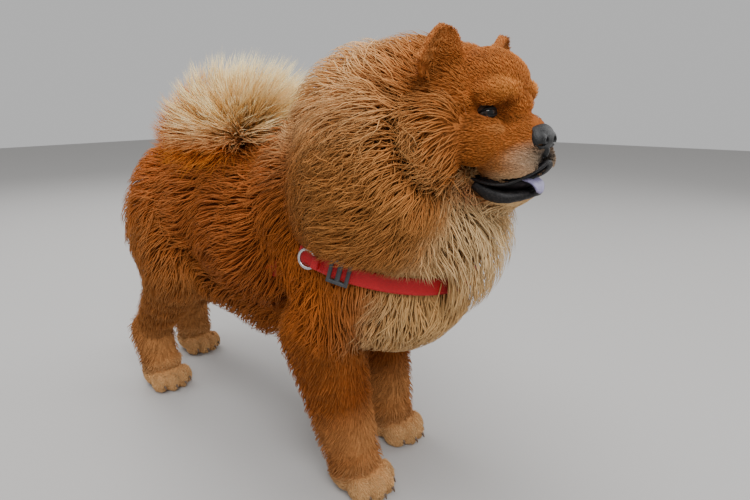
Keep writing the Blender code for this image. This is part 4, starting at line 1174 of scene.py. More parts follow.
@dataclass
class Face:
    """The eyes, lids, nose, lips, mouth and tongue."""

    eye: Triple = (0.037, -0.451, 0.541)
    eye_radius: float = 0.0110
    facing: Triple = (0.60, -0.79, 0.05)
    socket: Triple = (1.00, 1.3, 0.58)
    lid_radius: float = 0.0018
    lid_rises: tuple[float, float] = (0.44, -0.36)
    upper_lip: tuple[Triple, ...] = ((0.045, -0.440, 0.468), (0.046, -0.460, 0.464), (0.041, -0.480, 0.464),
                                     (0.030, -0.497, 0.472), (0.014, -0.509, 0.482), (0, -0.512, 0.488))
    lower_lip: tuple[Triple, ...] = ((0.044, -0.440, 0.467), (0.041, -0.458, 0.459), (0.036, -0.476, 0.455),
                                     (0.025, -0.489, 0.455), (0.012, -0.498, 0.456), (0, -0.501, 0.456))
    lip_foot: tuple[Triple, ...] = ((0.042, -0.444, 0.457), (0.038, -0.462, 0.444), (0.033, -0.477, 0.441),
                                    (0.023, -0.488, 0.443), (0.010, -0.495, 0.446), (0, -0.497, 0.448))
    tongue: tuple[Triple, ...] = ((0, -0.454, 0.4660), (-0.002, -0.478, 0.4670), (-0.006, -0.495, 0.4670),
                                  (-0.009, -0.5055, 0.4630), (-0.011, -0.5095, 0.4550))
    tongue_widths: tuple[float, ...] = (0.015, 0.018, 0.018, 0.0155, 0.0085)

    def eye_centre(self, side: int) -> Vector:
        """The middle of one eyeball."""
        return Vector((self.eye[0] * side, self.eye[1], self.eye[2]))

    def eye_facing(self, side: int) -> Vector:
        """The way one eye looks."""
        return Vector((self.facing[0] * side, self.facing[1], self.facing[2])).normalized()

    def cutters(self) -> list[Object]:
        """The shapes that open the eye sockets and the mouth in the skin.

        Returns:
            The closed shapes.
        """
        front, reach = -0.60, 0.2
        tools = []
        for side in (-1, 1):
            middle = self.eye_centre(side) + self.eye_facing(side) * self.eye_radius
            radii = tuple(self.eye_radius * share for share in self.socket)
            tools.append(ellipsoid("orbit", tuple(middle), radii))
        above = [(y, z) for _, y, z in self.upper_lip] + [(front, 0.53)]
        below = [(front, 0.45)] + [(y, z) for _, y, z in self.lower_lip[:0:-1]]
        outline = above + below
        bm = bmesh.new()
        ends = [[bm.verts.new((x, a, b)) for a, b in outline] for x in (-reach, reach)]
        bm.faces.new(ends[0])
        bm.faces.new(ends[1])
        for i in range(len(outline)):
            j = (i + 1) % len(outline)
            bm.faces.new((ends[0][i], ends[0][j], ends[1][j], ends[1][i]))
        bmesh.ops.triangulate(bm, faces=bm.faces)
        bmesh.ops.recalc_face_normals(bm, faces=bm.faces)
        tools.append(from_bmesh("mouth", bm))
        return tools

    def across_face(self, half: tuple[Triple, ...]) -> Line:
        """A smooth line from one corner of the mouth round the front to the other.

        Args:
            half: The points of the left half, from the corner to the middle.

        Returns:
            The points of the whole line.
        """
        left = [Vector(p) for p in half]
        right = [Vector((-p.x, p.y, p.z)) for p in left[-2::-1]]
        return smooth_line(left + right, 5)

    def dark_places(self) -> list[tuple[Vector, float]]:
        """Where the skin is black: along the lips and inside the mouth.

        Returns:
            The middle and the radius of each place.
        """
        lips = self.across_face(self.upper_lip) + self.across_face(self.lower_lip)
        places = [(p, 0.0060) for p in lips]
        inside = [(Vector((0, -0.462, 0.464)), 0.030), (Vector((0, -0.485, 0.466)), 0.022)]
        inside += [(Vector((x, -0.470, 0.458)), 0.016) for x in (-0.024, 0.024)]
        front = [(Vector((x, -0.502, 0.479)), 0.0110) for x in (-0.012, 0, 0.012)]
        return places + inside + front + [(Vector((0, -0.512, 0.492)), 0.0095)]

    def bare_places(self) -> list[tuple[Vector, float]]:
        """Where no hair grows: the eyes, the nose, the lips and the mouth.

        Returns:
            The middle and the radius of each place.
        """
        bare = [(self.eye_centre(side) + self.eye_facing(side) * 0.008, 0.0128) for side in (-1, 1)]
        bare += [(Vector(m.centre), max(m.radii) * 0.80) for m in NOSE]
        bare += [(p, 0.0055) for p in self.across_face(self.upper_lip)]
        lower, foot = self.across_face(self.lower_lip), self.across_face(self.lip_foot)
        bare += [((a + b) / 2, (a - b).length / 2 + 0.0015) for a, b in zip(lower, foot)]
        bare += [(Vector((0, -0.460, 0.466)), 0.026), (Vector((0, -0.488, 0.468)), 0.018)]
        return bare + [(Vector((x, -0.500, 0.477)), 0.010) for x in (-0.012, 0, 0.012)]

    def build_lips(self, finish: WetFinish) -> None:
        """Black lips: an upper roll and a deep, loose lower one.

        Args:
            finish: The look of the lips.
        """
        halves = (self.upper_lip, self.lower_lip, self.lip_foot)
        upper, lower, foot = (self.across_face(half) for half in halves)
        count = len(upper)
        swell = [math.sin(math.pi * i / (count - 1)) ** 0.5 for i in range(count)]
        roll = rod("upper_lip", upper, [0.0020 + 0.0016 * s for s in swell],
                   [0.0012 + 0.0012 * s for s in swell], 12)
        middle = [(a + b) / 2 for a, b in zip(lower, foot)]
        heights = [(a - b).length / 2 * (1 + 0.05 * math.sin(1.7 * i))
                   for i, (a, b) in enumerate(zip(lower, foot))]
        pad = rod("lower_lip", middle, [0.0030 + 0.0042 * s for s in swell], heights, 20)
        lips = join([roll, pad], "lips")
        subdivide = lips.modifiers.new("round", "SUBSURF")
        subdivide.levels = subdivide.render_levels = 1
        apply_all(lips)
        finish_piece(lips, finish.make(), "jaw")

    def build_mouth(self, finish: WetFinish) -> None:
        """The dark inside of the mouth.

        Args:
            finish: The look of its lining.
        """
        lining = ellipsoid("mouth_lining", (0, -0.4610, 0.4650), (0.0390, 0.0400, 0.0150), 32)
        finish_piece(lining, finish.make(), "tongue")

    def build_tongue(self, finish: WetFinish) -> None:
        """The tongue, its tip over the lower lip.

        Args:
            finish: The look of the tongue.
        """
        sides, last = 20, len(self.tongue) - 1
        fine = smooth_line([Vector(p) for p in self.tongue], 6)
        spread = np.interp(np.linspace(0, last, len(fine)), range(last + 1), self.tongue_widths)
        rings = []
        for k, p in enumerate(fine):
            ahead = (fine[min(k + 1, len(fine) - 1)] - fine[max(k - 1, 0)]).normalized()
            across = Vector((1, 0, 0))
            up = across.cross(ahead)
            if up.z < 0:
                up = -up
            ring = []
            for i in range(sides):
                a = 2 * math.pi * i / sides
                u = math.cos(a)
                groove = -0.0011 * math.exp(-(u / 0.16) ** 2) if math.sin(a) > 0 else 0.0
                rise = 0.0027 * math.sin(a) + groove + 0.0012 * u * u
                ring.append(p + across * spread[k] * u + up * rise)
            rings.append(ring)
        tip = rings[-1]
        middle = sum(tip, Vector()) / len(tip)
        rings.append([middle + (p - middle) * 0.35 + Vector((0, -0.0012, -0.0022)) for p in tip])
        tongue = sweep("tongue_blade", rings)
        finish_piece(tongue, finish.make(), "tongue", "tongue")

    def build_nose(self, finish: WetFinish) -> None:
        """The nose leather with its nostrils.

        Args:
            finish: The look of the nose.
        """
        nose = fused("nose_leather", NOSE, 1.0, 0.0011, 2)
        tools = []
        for side in (-1, 1):
            tools.append(ellipsoid("nostril", (0.0112 * side, -0.5150, 0.5115), (0.0042, 0.0075, 0.0044)))
            tools.append(ellipsoid("slit", (0.0178 * side, -0.5110, 0.5075), (0.0070, 0.0050, 0.0015)))
        tools.append(ellipsoid("groove", (0, -0.5165, 0.5030), (0.0008, 0.0030, 0.0120)))
        cut(nose, tools)
        soften = nose.modifiers.new("soften", "SMOOTH")
        soften.factor = 0.5
        soften.iterations = 2
        apply_all(nose)
        finish_piece(nose, finish.make(), "nose", "nose")

    def build_eyes(self, finish: EyeFinish, rim: WetFinish) -> None:
        """Two wet eyes between dark lids.

        Args:
            finish: The look of the eyeballs.
            rim: The look of the lids' edges.
        """
        rim_material = rim.make()
        last = 14
        for side, word in ((-1, "right"), (1, "left")):
            centre, facing = self.eye_centre(side), self.eye_facing(side)
            ball = ellipsoid(f"eyeball_{word}", tuple(centre), (self.eye_radius,) * 3, 32)
            material = finish.make(centre + FRAME_SHIFT, facing, self.eye_radius)
            finish_piece(ball, material, "eye", f"eye_{word}")
            across = facing.cross(Vector((0, 0, 1))).normalized()
            up = across.cross(facing)
            lids = []
            for rise in self.lid_rises:
                line = []
                for i in range(last + 1):
                    angle = math.pi * i / last
                    spread = math.cos(angle) * self.eye_radius * 0.98
                    height = math.sin(angle) * self.eye_radius * rise + 0.0011 * math.cos(angle) * side
                    ratio = (spread ** 2 + height ** 2) / (1.02 * self.eye_radius) ** 2
                    depth = max(math.sqrt(max(0.0, 1 - ratio)), 0.30)
                    line.append(centre + across * spread + up * height + facing * self.eye_radius * depth)
                radii = [self.lid_radius * (0.5 + 0.5 * math.sin(math.pi * i / last))
                         for i in range(last + 1)]
                lids.append(rod("lid", line, radii, radii, 10))
            finish_piece(join(lids, f"lids_{word}"), rim_material, "eye")


class Body:
    """The skin, and the surface that the tips of the coat reach."""

    SOLE, GROUND = 0.0015, 0.0002
    BLACK = (0.006, 0.005, 0.005)
    FLESH = ("torso", "neck", "head", "lower_jaw", "tail", "ear_left", "ear_right",
             "fore_leg_left", "fore_leg_right", "hind_leg_left", "hind_leg_right",
             "fore_paw_left", "fore_paw_right", "hind_paw_left", "hind_paw_right")

    def __init__(self, face: Face) -> None:
        """Gather the masses.

        Args:
            face: The features that open the skin.
        """
        self.face = face
        self.ears = [Ear(-1), Ear(1)]
        self.trunk = TRUNK + NECK + [mass for leg in LEGS for mass in leg.masses()]
        self.paws = [mass for leg in LEGS for mass in leg.paw()]
        ears = [mass for ear in self.ears for mass in ear.masses()]
        self.growth = Growth(self.trunk + self.paws + HEAD + FOLDS + ears)
        self.tail_line = [Vector(m.centre) for m in TAIL[::4]]

    def core(self) -> Object:
        """The flesh of trunk, neck and legs alone, which the straps lie on."""
        return fused("core", self.trunk, CORE_SHARE, 0.006, 6)

    def build_skin(self) -> Object:
        """One skin over all the flesh, with its folds, sockets and mouth.

        Returns:
            The skin.
        """
        count = len(self.tail_line)
        widths = [TAIL_BONE * (1.10 - 0.5 * k / (count - 1)) for k in range(count)]
        extra = [ear.sheet() for ear in self.ears] + [rod("tail_bone", self.tail_line, widths, widths)]
        extra.append(fused("limbs", self.trunk + UNDER, CORE_SHARE, 0.0045, 14))
        skin = fused("skin", self.paws + HEAD + FOLDS, CORE_SHARE, 0.0030, 2, extra)
        cut(skin, self.face.cutters())
        bm = bmesh.new()
        bm.from_mesh(skin.data)
        for v in bm.verts:
            if v.co.z < self.SOLE:
                v.co.z = self.GROUND
        bm.to_mesh(skin.data)
        bm.free()
        return skin

    def outline(self) -> BVHTree:
        """A search tree over the surface that the tips of the coat reach.

        Returns:
            The tree.
        """
        shell = fused("outline", self.trunk + HEAD + FRINGE, 1.0, 0.0065, 4)
        tree = tree_of(shell)
        bpy.data.objects.remove(shell)
        return tree

    def plume(self) -> Object:
        """The outer surface of the tail's plume."""
        return fused("plume", PLUME, 1.0, 0.0060, 4)

    def finish_skin(self, skin: Object, finish: FurFinish, effects: Effects) -> None:
        """Colour the skin like the roots of its coat, black at the lips and mouth, and dress it.

        Args:
            skin: The skin.
            finish: The look of the skin.
            effects: The shared node groups.
        """
        points = points_of(skin)
        _, style = self.growth.blend(points)
        colours = self.growth.mark(points, style[:, 6:9] * 0.55 + style[:, 9:12] * 0.45)
        colours *= (1 + 0.08 * ripple(points, 0.05, 51))[:, None]
        for centre, radius in self.face.dark_places():
            colours[np.linalg.norm(points - np.array(centre), axis=1) < radius] = self.BLACK
        paint_points(skin, colours)
        finish_piece(skin, finish.make(effects), "coat_red", *self.FLESH)


def paint_points(obj: Object, colours: Array) -> None:
    """Store a colour at each point of a mesh.

    Args:
        obj: The mesh object.
        colours: Linear colours, one row each.
    """
    layer = obj.data.color_attributes.new("coat_colour", "FLOAT_COLOR", "POINT")
    rows = np.ones((len(colours), 4), dtype=np.float32)
    rows[:, :3] = np.clip(colours, 0, 1)
    layer.data.foreach_set("color", rows.ravel())


@dataclass
class Tufts:
    """A batch of tufts: the middle line, section and colours of each."""

    lines: Array
    ups: Array
    widths: Array
    root: Array
    middle: Array
    tip: Array
    flat: Array

    def part(self, keep: Array) -> Tufts:
        """Some of the tufts.

        Args:
            keep: A mask or the numbers of the tufts.

        Returns:
            The chosen tufts.
        """
        return Tufts(self.lines[keep], self.ups[keep], self.widths[keep], self.root[keep],
                     self.middle[keep], self.tip[keep], self.flat[keep])


class TuftMesh:
    """Turns batches of tufts into closed meshes with colours and a bake map."""

    PATCH = 0.003
    BELOW, ABOVE = 0.25, 0.55
    PROFILE = {3: (0.85, 1.0), 4: (0.80, 1.0, 0.60), 5: (0.80, 1.05, 0.86, 0.46),
               6: (0.80, 1.05, 1.0, 0.78, 0.42)}

    def build(self, name: str, tufts: Tufts) -> Object:
        """Build one piece of coat.

        Args:
            name: The piece's name.
            tufts: Its tufts, all with the same count of points.

        Returns:
            The piece.
        """
        count, steps = tufts.lines.shape[:2]
        rings = steps - 1
        ahead = np.gradient(tufts.lines, axis=1)
        ahead /= np.linalg.norm(ahead, axis=2, keepdims=True) + 1e-9
        across = np.cross(ahead, tufts.ups[:, None, :])
        across /= np.linalg.norm(across, axis=2, keepdims=True) + 1e-9
        up = np.cross(across, ahead)
        profile = np.array(self.PROFILE[steps])[None, :, None]
        half = 0.5 * tufts.widths[:, None, None] * profile
        middle = tufts.lines[:, :rings]
        side, top = across[:, :rings] * half, up[:, :rings] * half
        corners = np.stack([middle - side - top * self.BELOW, middle + side - top * self.BELOW,
                            middle + top * self.ABOVE], axis=2)
        per = rings * 3 + 1
        vertices = np.empty((count, per, 3), dtype=np.float32)
        vertices[:, :-1] = corners.reshape(count, rings * 3, 3)
        vertices[:, -1] = tufts.lines[:, -1]
        faces = [(2, 1, 0)]
        for r in range(rings - 1):
            for i in range(3):
                a, b = r * 3 + i, r * 3 + (i + 1) % 3
                faces += [(a, b, b + 3), (a, b + 3, a + 3)]
        last = (rings - 1) * 3
        faces += [(last + i, last + (i + 1) % 3, per - 1) for i in range(3)]
        faces = np.array(faces)
        index = (np.arange(count)[:, None, None] * per + faces[None]).reshape(-1)
        mesh = bpy.data.meshes.new(name)
        mesh.vertices.add(count * per)
        placed = vertices.reshape(-1, 3) + np.array(FRAME_SHIFT)
        mesh.vertices.foreach_set("co", placed.ravel().astype(np.float32))
        mesh.loops.add(len(index))
        mesh.loops.foreach_set("vertex_index", index.astype(np.int32))
        polygons = count * len(faces)
        mesh.polygons.add(polygons)
        mesh.polygons.foreach_set("loop_start", np.arange(0, polygons * 3, 3, dtype=np.int32))
        mesh.update(calc_edges=True)
        obj = bpy.data.objects.new(name, mesh)
        bpy.context.scene.collection.objects.link(obj)
        heights = np.repeat(np.linspace(0, 1, steps)[:rings], 3)
        share = np.append(heights, 1.0)
        low = np.clip(share * 2, 0, 1)[None, :, None]
        high = np.clip(share * 2 - 1, 0, 1)[None, :, None]
        colours = tufts.root[:, None] * (1 - low) + tufts.middle[:, None] * low
        colours = colours * (1 - high) + tufts.tip[:, None] * high
        paint_points(obj, colours.reshape(-1, 3))
        spot = np.stack([np.tile([0.0, 1.0, 0.5], rings), heights], axis=1)
        spot = np.vstack([spot, [0.5, 1.0]]) * self.PATCH
        places = (tufts.flat[:, None] + spot[None]).reshape(-1, 2)
        layer = mesh.uv_layers.new(name="OFBake")
        layer.data.foreach_set("uv", places[index].ravel().astype(np.float32))
        return obj


@dataclass(frozen=True)
class TuftClass:
    """A size of tuft: which hair it covers, how finely it is drawn and how many there are."""

    word: str
    least: float
    most: float
    curly: bool
    steps: int
    count: int


TUFT_CLASSES = (
    TuftClass("long", 0.029, 1.0, False, 5, 22300),
    TuftClass("curly", 0.029, 1.0, True, 6, 11700),
    TuftClass("middle", 0.0120, 0.029, False, 4, 18000),
    TuftClass("short", 0.0, 0.0120, False, 3, 24000),
)


@dataclass
class Coat:
    """The coat in tufts, rooted in the skin, lying along the body out to its outline.

    Hair from long_from on reaches the outline. It wanders in full from full_length on. The plume
    is pale ahead of pale_back and above pale_low, each with the depth of its fade.
    """

    BATCH = 8000
    TAIL_BASE_MIDDLE = tone(182, 96, 32)
    TAIL_BASE_TIP = tone(204, 124, 50)

    body: Body
    bare: list[tuple[Vector, float]]
    strap: Array
    tail_count: int = 6400
    piece_limit: int = 8800
    cell: float = 0.03
    curly_from: float = 0.0026
    long_from: float = 0.020
    full_length: float = 0.05
    root_depth: float = 0.0015
    lead_most: float = 0.026
    sole: float = 0.004
    lowest: float = 0.002
    tail_bare: float = 0.034
    tail_from: float = 0.455
    pale_back: tuple[float, float] = (0.122, 0.085)
    pale_low: tuple[float, float] = (0.472, 0.07)
    strap_half: float = 0.0120
    strap_edge: float = 0.014
    strap_fade: float = 0.024
    rng: np.random.Generator = field(default_factory=lambda: np.random.default_rng(SEED))

    def scatter(self, skin: Object, kind: TuftClass) -> tuple[Array, Array]:
        """Spread roots over the skin, closer together where the style asks.

        Args:
            skin: The skin.
            kind: The size of tuft that is rooted.

        Returns:
            The places and the skin's normals there.
        """
        mesh = skin.data
        mesh.calc_loop_triangles()
        points = points_of(skin)
        triangles = np.empty(len(mesh.loop_triangles) * 3, dtype=np.int32)
        mesh.loop_triangles.foreach_get("vertices", triangles)
        triangles = triangles.reshape(-1, 3)
        a, b, c = (points[triangles[:, i]] for i in range(3))
        normal = np.cross(b - a, c - a)
        area = np.linalg.norm(normal, axis=1) / 2
        normal /= 2 * area[:, None] + 1e-12
        middle = (a + b + c) / 3
        _, styles = self.body.growth.blend(middle)
        length, spacing, curl = styles[:, 0], styles[:, 2], styles[:, 3]
        chosen = (length > kind.least) & (length <= kind.most)
        if kind.least > self.long_from:
            chosen &= (curl > self.curly_from) == kind.curly
        weight = area / spacing ** 2 * chosen * self.allowed(middle)
        cells = np.floor(middle / self.cell)
        order = np.lexsort((cells[:, 0], cells[:, 2], cells[:, 1]))
        total = np.cumsum(weight[order])
        marks = (np.arange(kind.count) + self.rng.random(kind.count)) / kind.count * total[-1]
        picked = order[np.searchsorted(total, marks)]
        u, v = self.rng.random(kind.count), self.rng.random(kind.count)
        over = u + v > 1
        u[over], v[over] = 1 - u[over], 1 - v[over]
        places = a[picked] + (b - a)[picked] * u[:, None] + (c - a)[picked] * v[:, None]
        LOG.info("%s hair: %.0f%% of the style's density", kind.word, 100 * kind.count / total[-1])
        return places, normal[picked]

    def allowed(self, points: Array) -> Array:
        """Where hair may be rooted: off the soles, eyes, nose, lips, mouth and tail bone.

        Args:
            points: Places, one row each.

        Returns:
            1 where hair grows and 0 elsewhere.
        """
        good = points[:, 2] > self.sole
        for centre, radius in self.bare:
            good &= np.linalg.norm(points - np.array(centre), axis=1) > radius
        tail = np.array([m.centre for m in TAIL])
        away = np.linalg.norm(points[:, None] - tail[None], axis=2).min(axis=1)
        good &= ~((away < self.tail_bare) & (points[:, 2] > self.tail_from))
        return good.astype(float)

    def over_strap(self, points: Array) -> tuple[Array, Array]:
        """How far points are from the strap that shows, and from the band of coat over it.

        Args:
            points: Places, one row each.

        Returns:
            The distance to the strap, and the distance beside it where a point is over it.
        """
        far, under, over = 1.0, -0.006, 0.10
        near = np.full(len(points), far)
        beside = np.full(len(points), far)
        places, outs = self.strap[:, :3], self.strap[:, 3:]
        for start in range(0, len(points), self.BATCH):
            batch = slice(start, start + self.BATCH)
            off = points[batch, None] - places[None]
            square = (off ** 2).sum(axis=2)
            height = (off * outs[None]).sum(axis=2)
            sideways = np.sqrt(np.maximum(square - height ** 2, 0))
            sideways[(height < under) | (height > over)] = far
            near[batch] = np.sqrt(square.min(axis=1))
            beside[batch] = sideways.min(axis=1)
        return near, beside

    def guides(self, places: Array) -> Array:
        """Choose a leading tuft for each tuft, for locks that hang together.

        Args:
            places: Where the tufts are, one row each.

        Returns:
            The number of each one's leader.
        """
        in_a_lock = 8
        leaders = self.rng.choice(len(places), max(len(places) // in_a_lock, 1), replace=False)
        tree = KDTree(len(leaders))
        for k, leader in enumerate(leaders):
            tree.insert(places[leader], k)
        tree.balance()
        return np.array([leaders[tree.find(p)[1]] for p in places])

    @staticmethod
    def curves(roots: Array, mids: Array, tips: Array, times: Array) -> Array:
        """Arcs from the roots through the middles to the tips.

        Args:
            roots: The start of each arc.
            mids: Its middle.
            tips: Its end.
            times: The shares along each arc, one row each.

        Returns:
            The points of each arc.
        """
        handle = 2 * mids - (roots + tips) / 2
        t = times[..., None]
        return roots[:, None] * (1 - t) ** 2 + handle[:, None] * 2 * t * (1 - t) + tips[:, None] * t ** 2

    def reach_out(self, roots: Array, normals: Array, reach: Array, length: Array,
                  stand: Array, outline: BVHTree) -> tuple[Array, Array]:
        """Where tufts pass and end: close to the skin if short, and out at the outline if long.

        Args:
            roots: The places on the skin.
            normals: The skin's normals there.
            reach: Each tuft's way along the skin.
            length: Its length.
            stand: How far it stands off the skin.
            outline: The surface that the tips reach.

        Returns:
            The middles and the tips.
        """
        tips = np.empty_like(roots)
        mids = np.empty_like(roots)
        for i in range(len(roots)):
            root = Vector(roots[i])
            step = Vector(reach[i])
            if length[i] < self.long_from:
                lift = Vector(normals[i]) * length[i] * stand[i]
                mids[i] = root + step * 0.5 + lift * 0.75
                tips[i] = root + step * 0.95 + lift
                continue
            goal, normal, _, _ = outline.find_nearest(root + step)
            height = (goal - root - step).dot(normal)
            tips[i] = goal - normal * max(height, 0.0) * (1 - stand[i])
            goal, normal, _, _ = outline.find_nearest(root + step * 0.45)
            height = (goal - root - step * 0.45).dot(normal)
            mids[i] = goal - normal * max(height, 0.0) * (1 - 0.72 * stand[i])
        return mids, tips

    def grow(self, roots: Array, normals: Array, outline: BVHTree, kind: TuftClass) -> Tufts:
        """Grow a tuft from each root.

        Args:
            roots: The places on the skin.
            normals: The skin's normals there.
            outline: The surface that the tips reach.
            kind: The size of tuft.

        Returns:
            The tufts.
        """
        rng = self.rng
        count = len(roots)
        lie, style = self.body.growth.blend(roots)
        length, width, _, curl, clump, stand = (style[:, i] for i in range(6))
        wander = np.stack([ripple(roots, 0.10, s) for s in (31, 32, 33)], axis=1) * 0.32
        wander += np.stack([ripple(roots, 0.03, s) for s in (34, 35, 36)], axis=1) * 0.20
        lie = lie + wander * np.clip(length / self.full_length, 0.25, 1)[:, None]
        lie += rng.normal(size=(count, 3)) * np.clip(length / self.full_length, 0.5, 1)[:, None] * 0.16
        flat = lie - normals * (lie * normals).sum(axis=1, keepdims=True)
        flat /= np.linalg.norm(flat, axis=1, keepdims=True) + 1e-9
        length = length * rng.uniform(0.70, 1.12, count)
        near, _ = self.over_strap(roots)
        stand = stand * (0.40 + 0.60 * np.clip((near - self.strap_edge) / self.strap_fade, 0.0, 1.0))
        reach = flat * length[:, None]
        mids, tips = self.reach_out(roots, normals, reach, length, stand, outline)
        inward = np.where(rng.random(count) < 0.38, rng.uniform(0.20, 0.52, count),
                          rng.random(count) ** 2 * 0.16)
        inward -= rng.random(count) ** 4 * 0.17
        deep = (length > self.long_from)[:, None]
        depth = np.linalg.norm(tips - roots - reach, axis=1, keepdims=True)
        tips -= normals * deep * inward[:, None] * depth
        mids -= normals * deep * inward[:, None] * depth * 0.7
        own = self.guides(roots)
        pull = (clump * rng.uniform(0.5, 1.15, count)).clip(0, 0.85)[:, None]
        offset = tips[own] - tips
        far = np.linalg.norm(offset, axis=1, keepdims=True)
        offset *= np.clip(self.lead_most / (far + 1e-9), 0, 1)
        tips += offset * pull
        mids += offset * pull * 0.35
        sunk = roots - normals * self.root_depth
        share = self.kept_share(sunk, mids, tips)
        times = np.linspace(0, 1, kind.steps)[None] * share[:, None]
        lines = self.curves(sunk, mids, tips, times)
        side = np.cross(flat, normals)
        turns = 1.6 if kind.curly else 1.1
        phase = ripple(roots, 0.035, 41)[own] * 4 + rng.normal(size=count) * 0.5
        angle = times * 2 * math.pi * turns + phase[:, None]
        swell = curl[:, None] * times ** 0.6
        lines += side[:, None] * (np.sin(angle) * swell)[..., None]
        lines += normals[:, None] * (np.cos(angle) * swell * 0.5)[..., None]
        lines[:, :, 2] = np.maximum(lines[:, :, 2], self.lowest)
        shade = 1 + 0.08 * ripple(roots, 0.05, 51) + 0.12 * (rng.random(count) - 0.5)
        shade *= 1 + 0.13 * ripple(roots[own], 0.02, 52)
        on_muzzle = np.linalg.norm(roots - np.array((0, -0.488, 0.486)), axis=1) < 0.034
        shade[on_muzzle & (rng.random(count) < 0.16)] *= 0.25
        seen = roots * 0.4 + tips * 0.6
        colours = [self.body.growth.mark(seen, style[:, first:first + 3]) * shade[:, None]
                   for first in (6, 9, 12)]
        colours[0] *= 0.94
        keep = share > 0.25
        return Tufts(lines, normals, width * rng.uniform(0.8, 1.25, count), *colours,
                     Unwrap().place(roots)).part(keep)

    def kept_share(self, roots: Array, mids: Array, tips: Array) -> Array:
        """How much of each tuft may stay before it would lie over the strap that shows.

        Args:
            roots: The start of each tuft.
            mids: Its middle.
            tips: Its end.

        Returns:
            The share of its length, which is 0 where it is rooted under the strap.
        """
        samples = np.linspace(0, 1, 11)
        step_back = 0.08
        share = np.ones(len(roots))
        lines = self.curves(roots, mids, tips, np.tile(samples, (len(roots), 1)))
        for k in range(len(samples) - 1, -1, -1):
            _, beside = self.over_strap(lines[:, k])
            covers = beside < self.strap_half
            share[covers] = max(samples[k] - step_back, 0)
        return share

    def clear(self, tufts: Tufts) -> Tufts:
        """Drop the tufts that would lie over bare features.

        Args:
            tufts: All the tufts.

        Returns:
            The tufts that stay.
        """
        keep = np.ones(len(tufts.lines), dtype=bool)
        for centre, radius in self.bare:
            away = np.linalg.norm(tufts.lines[:, 1:] - np.array(centre), axis=2).min(axis=1)
            keep &= away > radius * 0.88
        return tufts.part(keep)

    def fan(self, plume: Object) -> Tufts:
        """The plume: tufts from the tail's bone out to the plume's surface.

        Args:
            plume: The surface that the tips reach.

        Returns:
            The tufts.
        """
        rng = self.rng
        mesh = plume.data
        mesh.calc_loop_triangles()
        triangles = list(mesh.loop_triangles)
        areas = np.array([t.area * (1.0 if t.center.z > 0.45 else 0.3) for t in triangles])
        picked = rng.choice(len(triangles), self.tail_count, p=areas / areas.sum())
        tips = np.array([Vector(mesh.vertices[triangles[k].vertices[0]].co) for k in picked])
        tips += rng.normal(size=tips.shape) * 0.004
        bone = np.array(smooth_line(self.body.tail_line, 12))
        nearest = np.linalg.norm(tips[:, None] - bone[None], axis=2).argmin(axis=1)
        start = np.clip(nearest - rng.integers(2, 12, len(tips)), 0, len(bone) - 1)
        roots = bone[start]
        ways = tips - roots
        reach = np.linalg.norm(ways, axis=1, keepdims=True)
        ways /= reach
        roots = roots + ways * TAIL_BONE * 0.7
        tips = roots + (tips - roots) * (1.11 - rng.random(len(tips)) ** 2.0 * 0.45)[:, None]
        ahead = np.gradient(bone, axis=0)[start]
        ahead /= np.linalg.norm(ahead, axis=1, keepdims=True)
        own = self.guides(tips)
        tips += (tips[own] - tips) * rng.uniform(0.1, 0.6, len(tips))[:, None]
        mids = (roots + tips) / 2 - ahead * reach * 0.08 + rng.normal(size=tips.shape) * 0.002
        times = np.tile(np.linspace(0, 1, 5), (len(tips), 1))
        lines = self.curves(roots, mids, tips, times)
        side = np.cross(ways, ahead)
        side /= np.linalg.norm(side, axis=1, keepdims=True) + 1e-9
        bend = np.sin(times * 6 + rng.random(len(tips))[:, None] * 6) * times * 0.0025
        lines += side[:, None] * bend[..., None]
        style = Hair.TAIL.value
        (back, back_fade), (low, low_fade) = self.pale_back, self.pale_low
        pale = np.clip((back - tips[:, 1]) / back_fade, 0, 1) * np.clip((tips[:, 2] - low) / low_fade, 0, 1)
        pale = pale[:, None]
        shade = (1 + 0.07 * ripple(tips, 0.05, 61) + 0.10 * (rng.random(len(tips)) - 0.5))[:, None]
        tip_colour = (np.array(style.tip) * pale + np.array(self.TAIL_BASE_TIP) * (1 - pale)) * shade
        mid_colour = (np.array(style.middle) * pale + np.array(self.TAIL_BASE_MIDDLE) * (1 - pale)) * shade
        root_colour = np.tile(np.array(style.root), (len(tips), 1)) * shade
        return Tufts(lines, ahead, style.width * rng.uniform(0.8, 1.3, len(tips)), root_colour,
                     mid_colour, tip_colour, Unwrap().place(roots))

    def build(self, skin: Object, finish: FurFinish, effects: Effects) -> None:
        """Build the whole coat in pieces.

        Args:
            skin: The skin that carries it.
            finish: The look of the hair.
            effects: The shared node groups.
        """
        outline = self.body.outline()
        material = finish.make(effects)
        mesher = TuftMesh()
        batches = []
        for kind in TUFT_CLASSES:
            roots, normals = self.scatter(skin, kind)
            batches.append((kind.word, self.clear(self.grow(roots, normals, outline, kind))))
        plume = self.body.plume()
        batches.append(("plume", self.fan(plume)))
        bpy.data.objects.remove(plume)
        for word, tufts in batches:
            order = np.argsort(tufts.lines[:, 0, 1])
            finest = max(kind.steps for kind in TUFT_CLASSES)
            limit = self.piece_limit if tufts.lines.shape[1] < finest else self.piece_limit * 3 // 4
            pieces = math.ceil(len(order) / limit)
            for k, part in enumerate(np.array_split(order, pieces)):
                piece = mesher.build(f"coat_{word}_{k + 1}", tufts.part(part))
                piece.data.materials.append(material)
                piece.data.shade_smooth()
                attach(piece, "root")
                LOG.info("%s: %d tufts, %d faces", piece.name, len(part), len(piece.data.polygons))


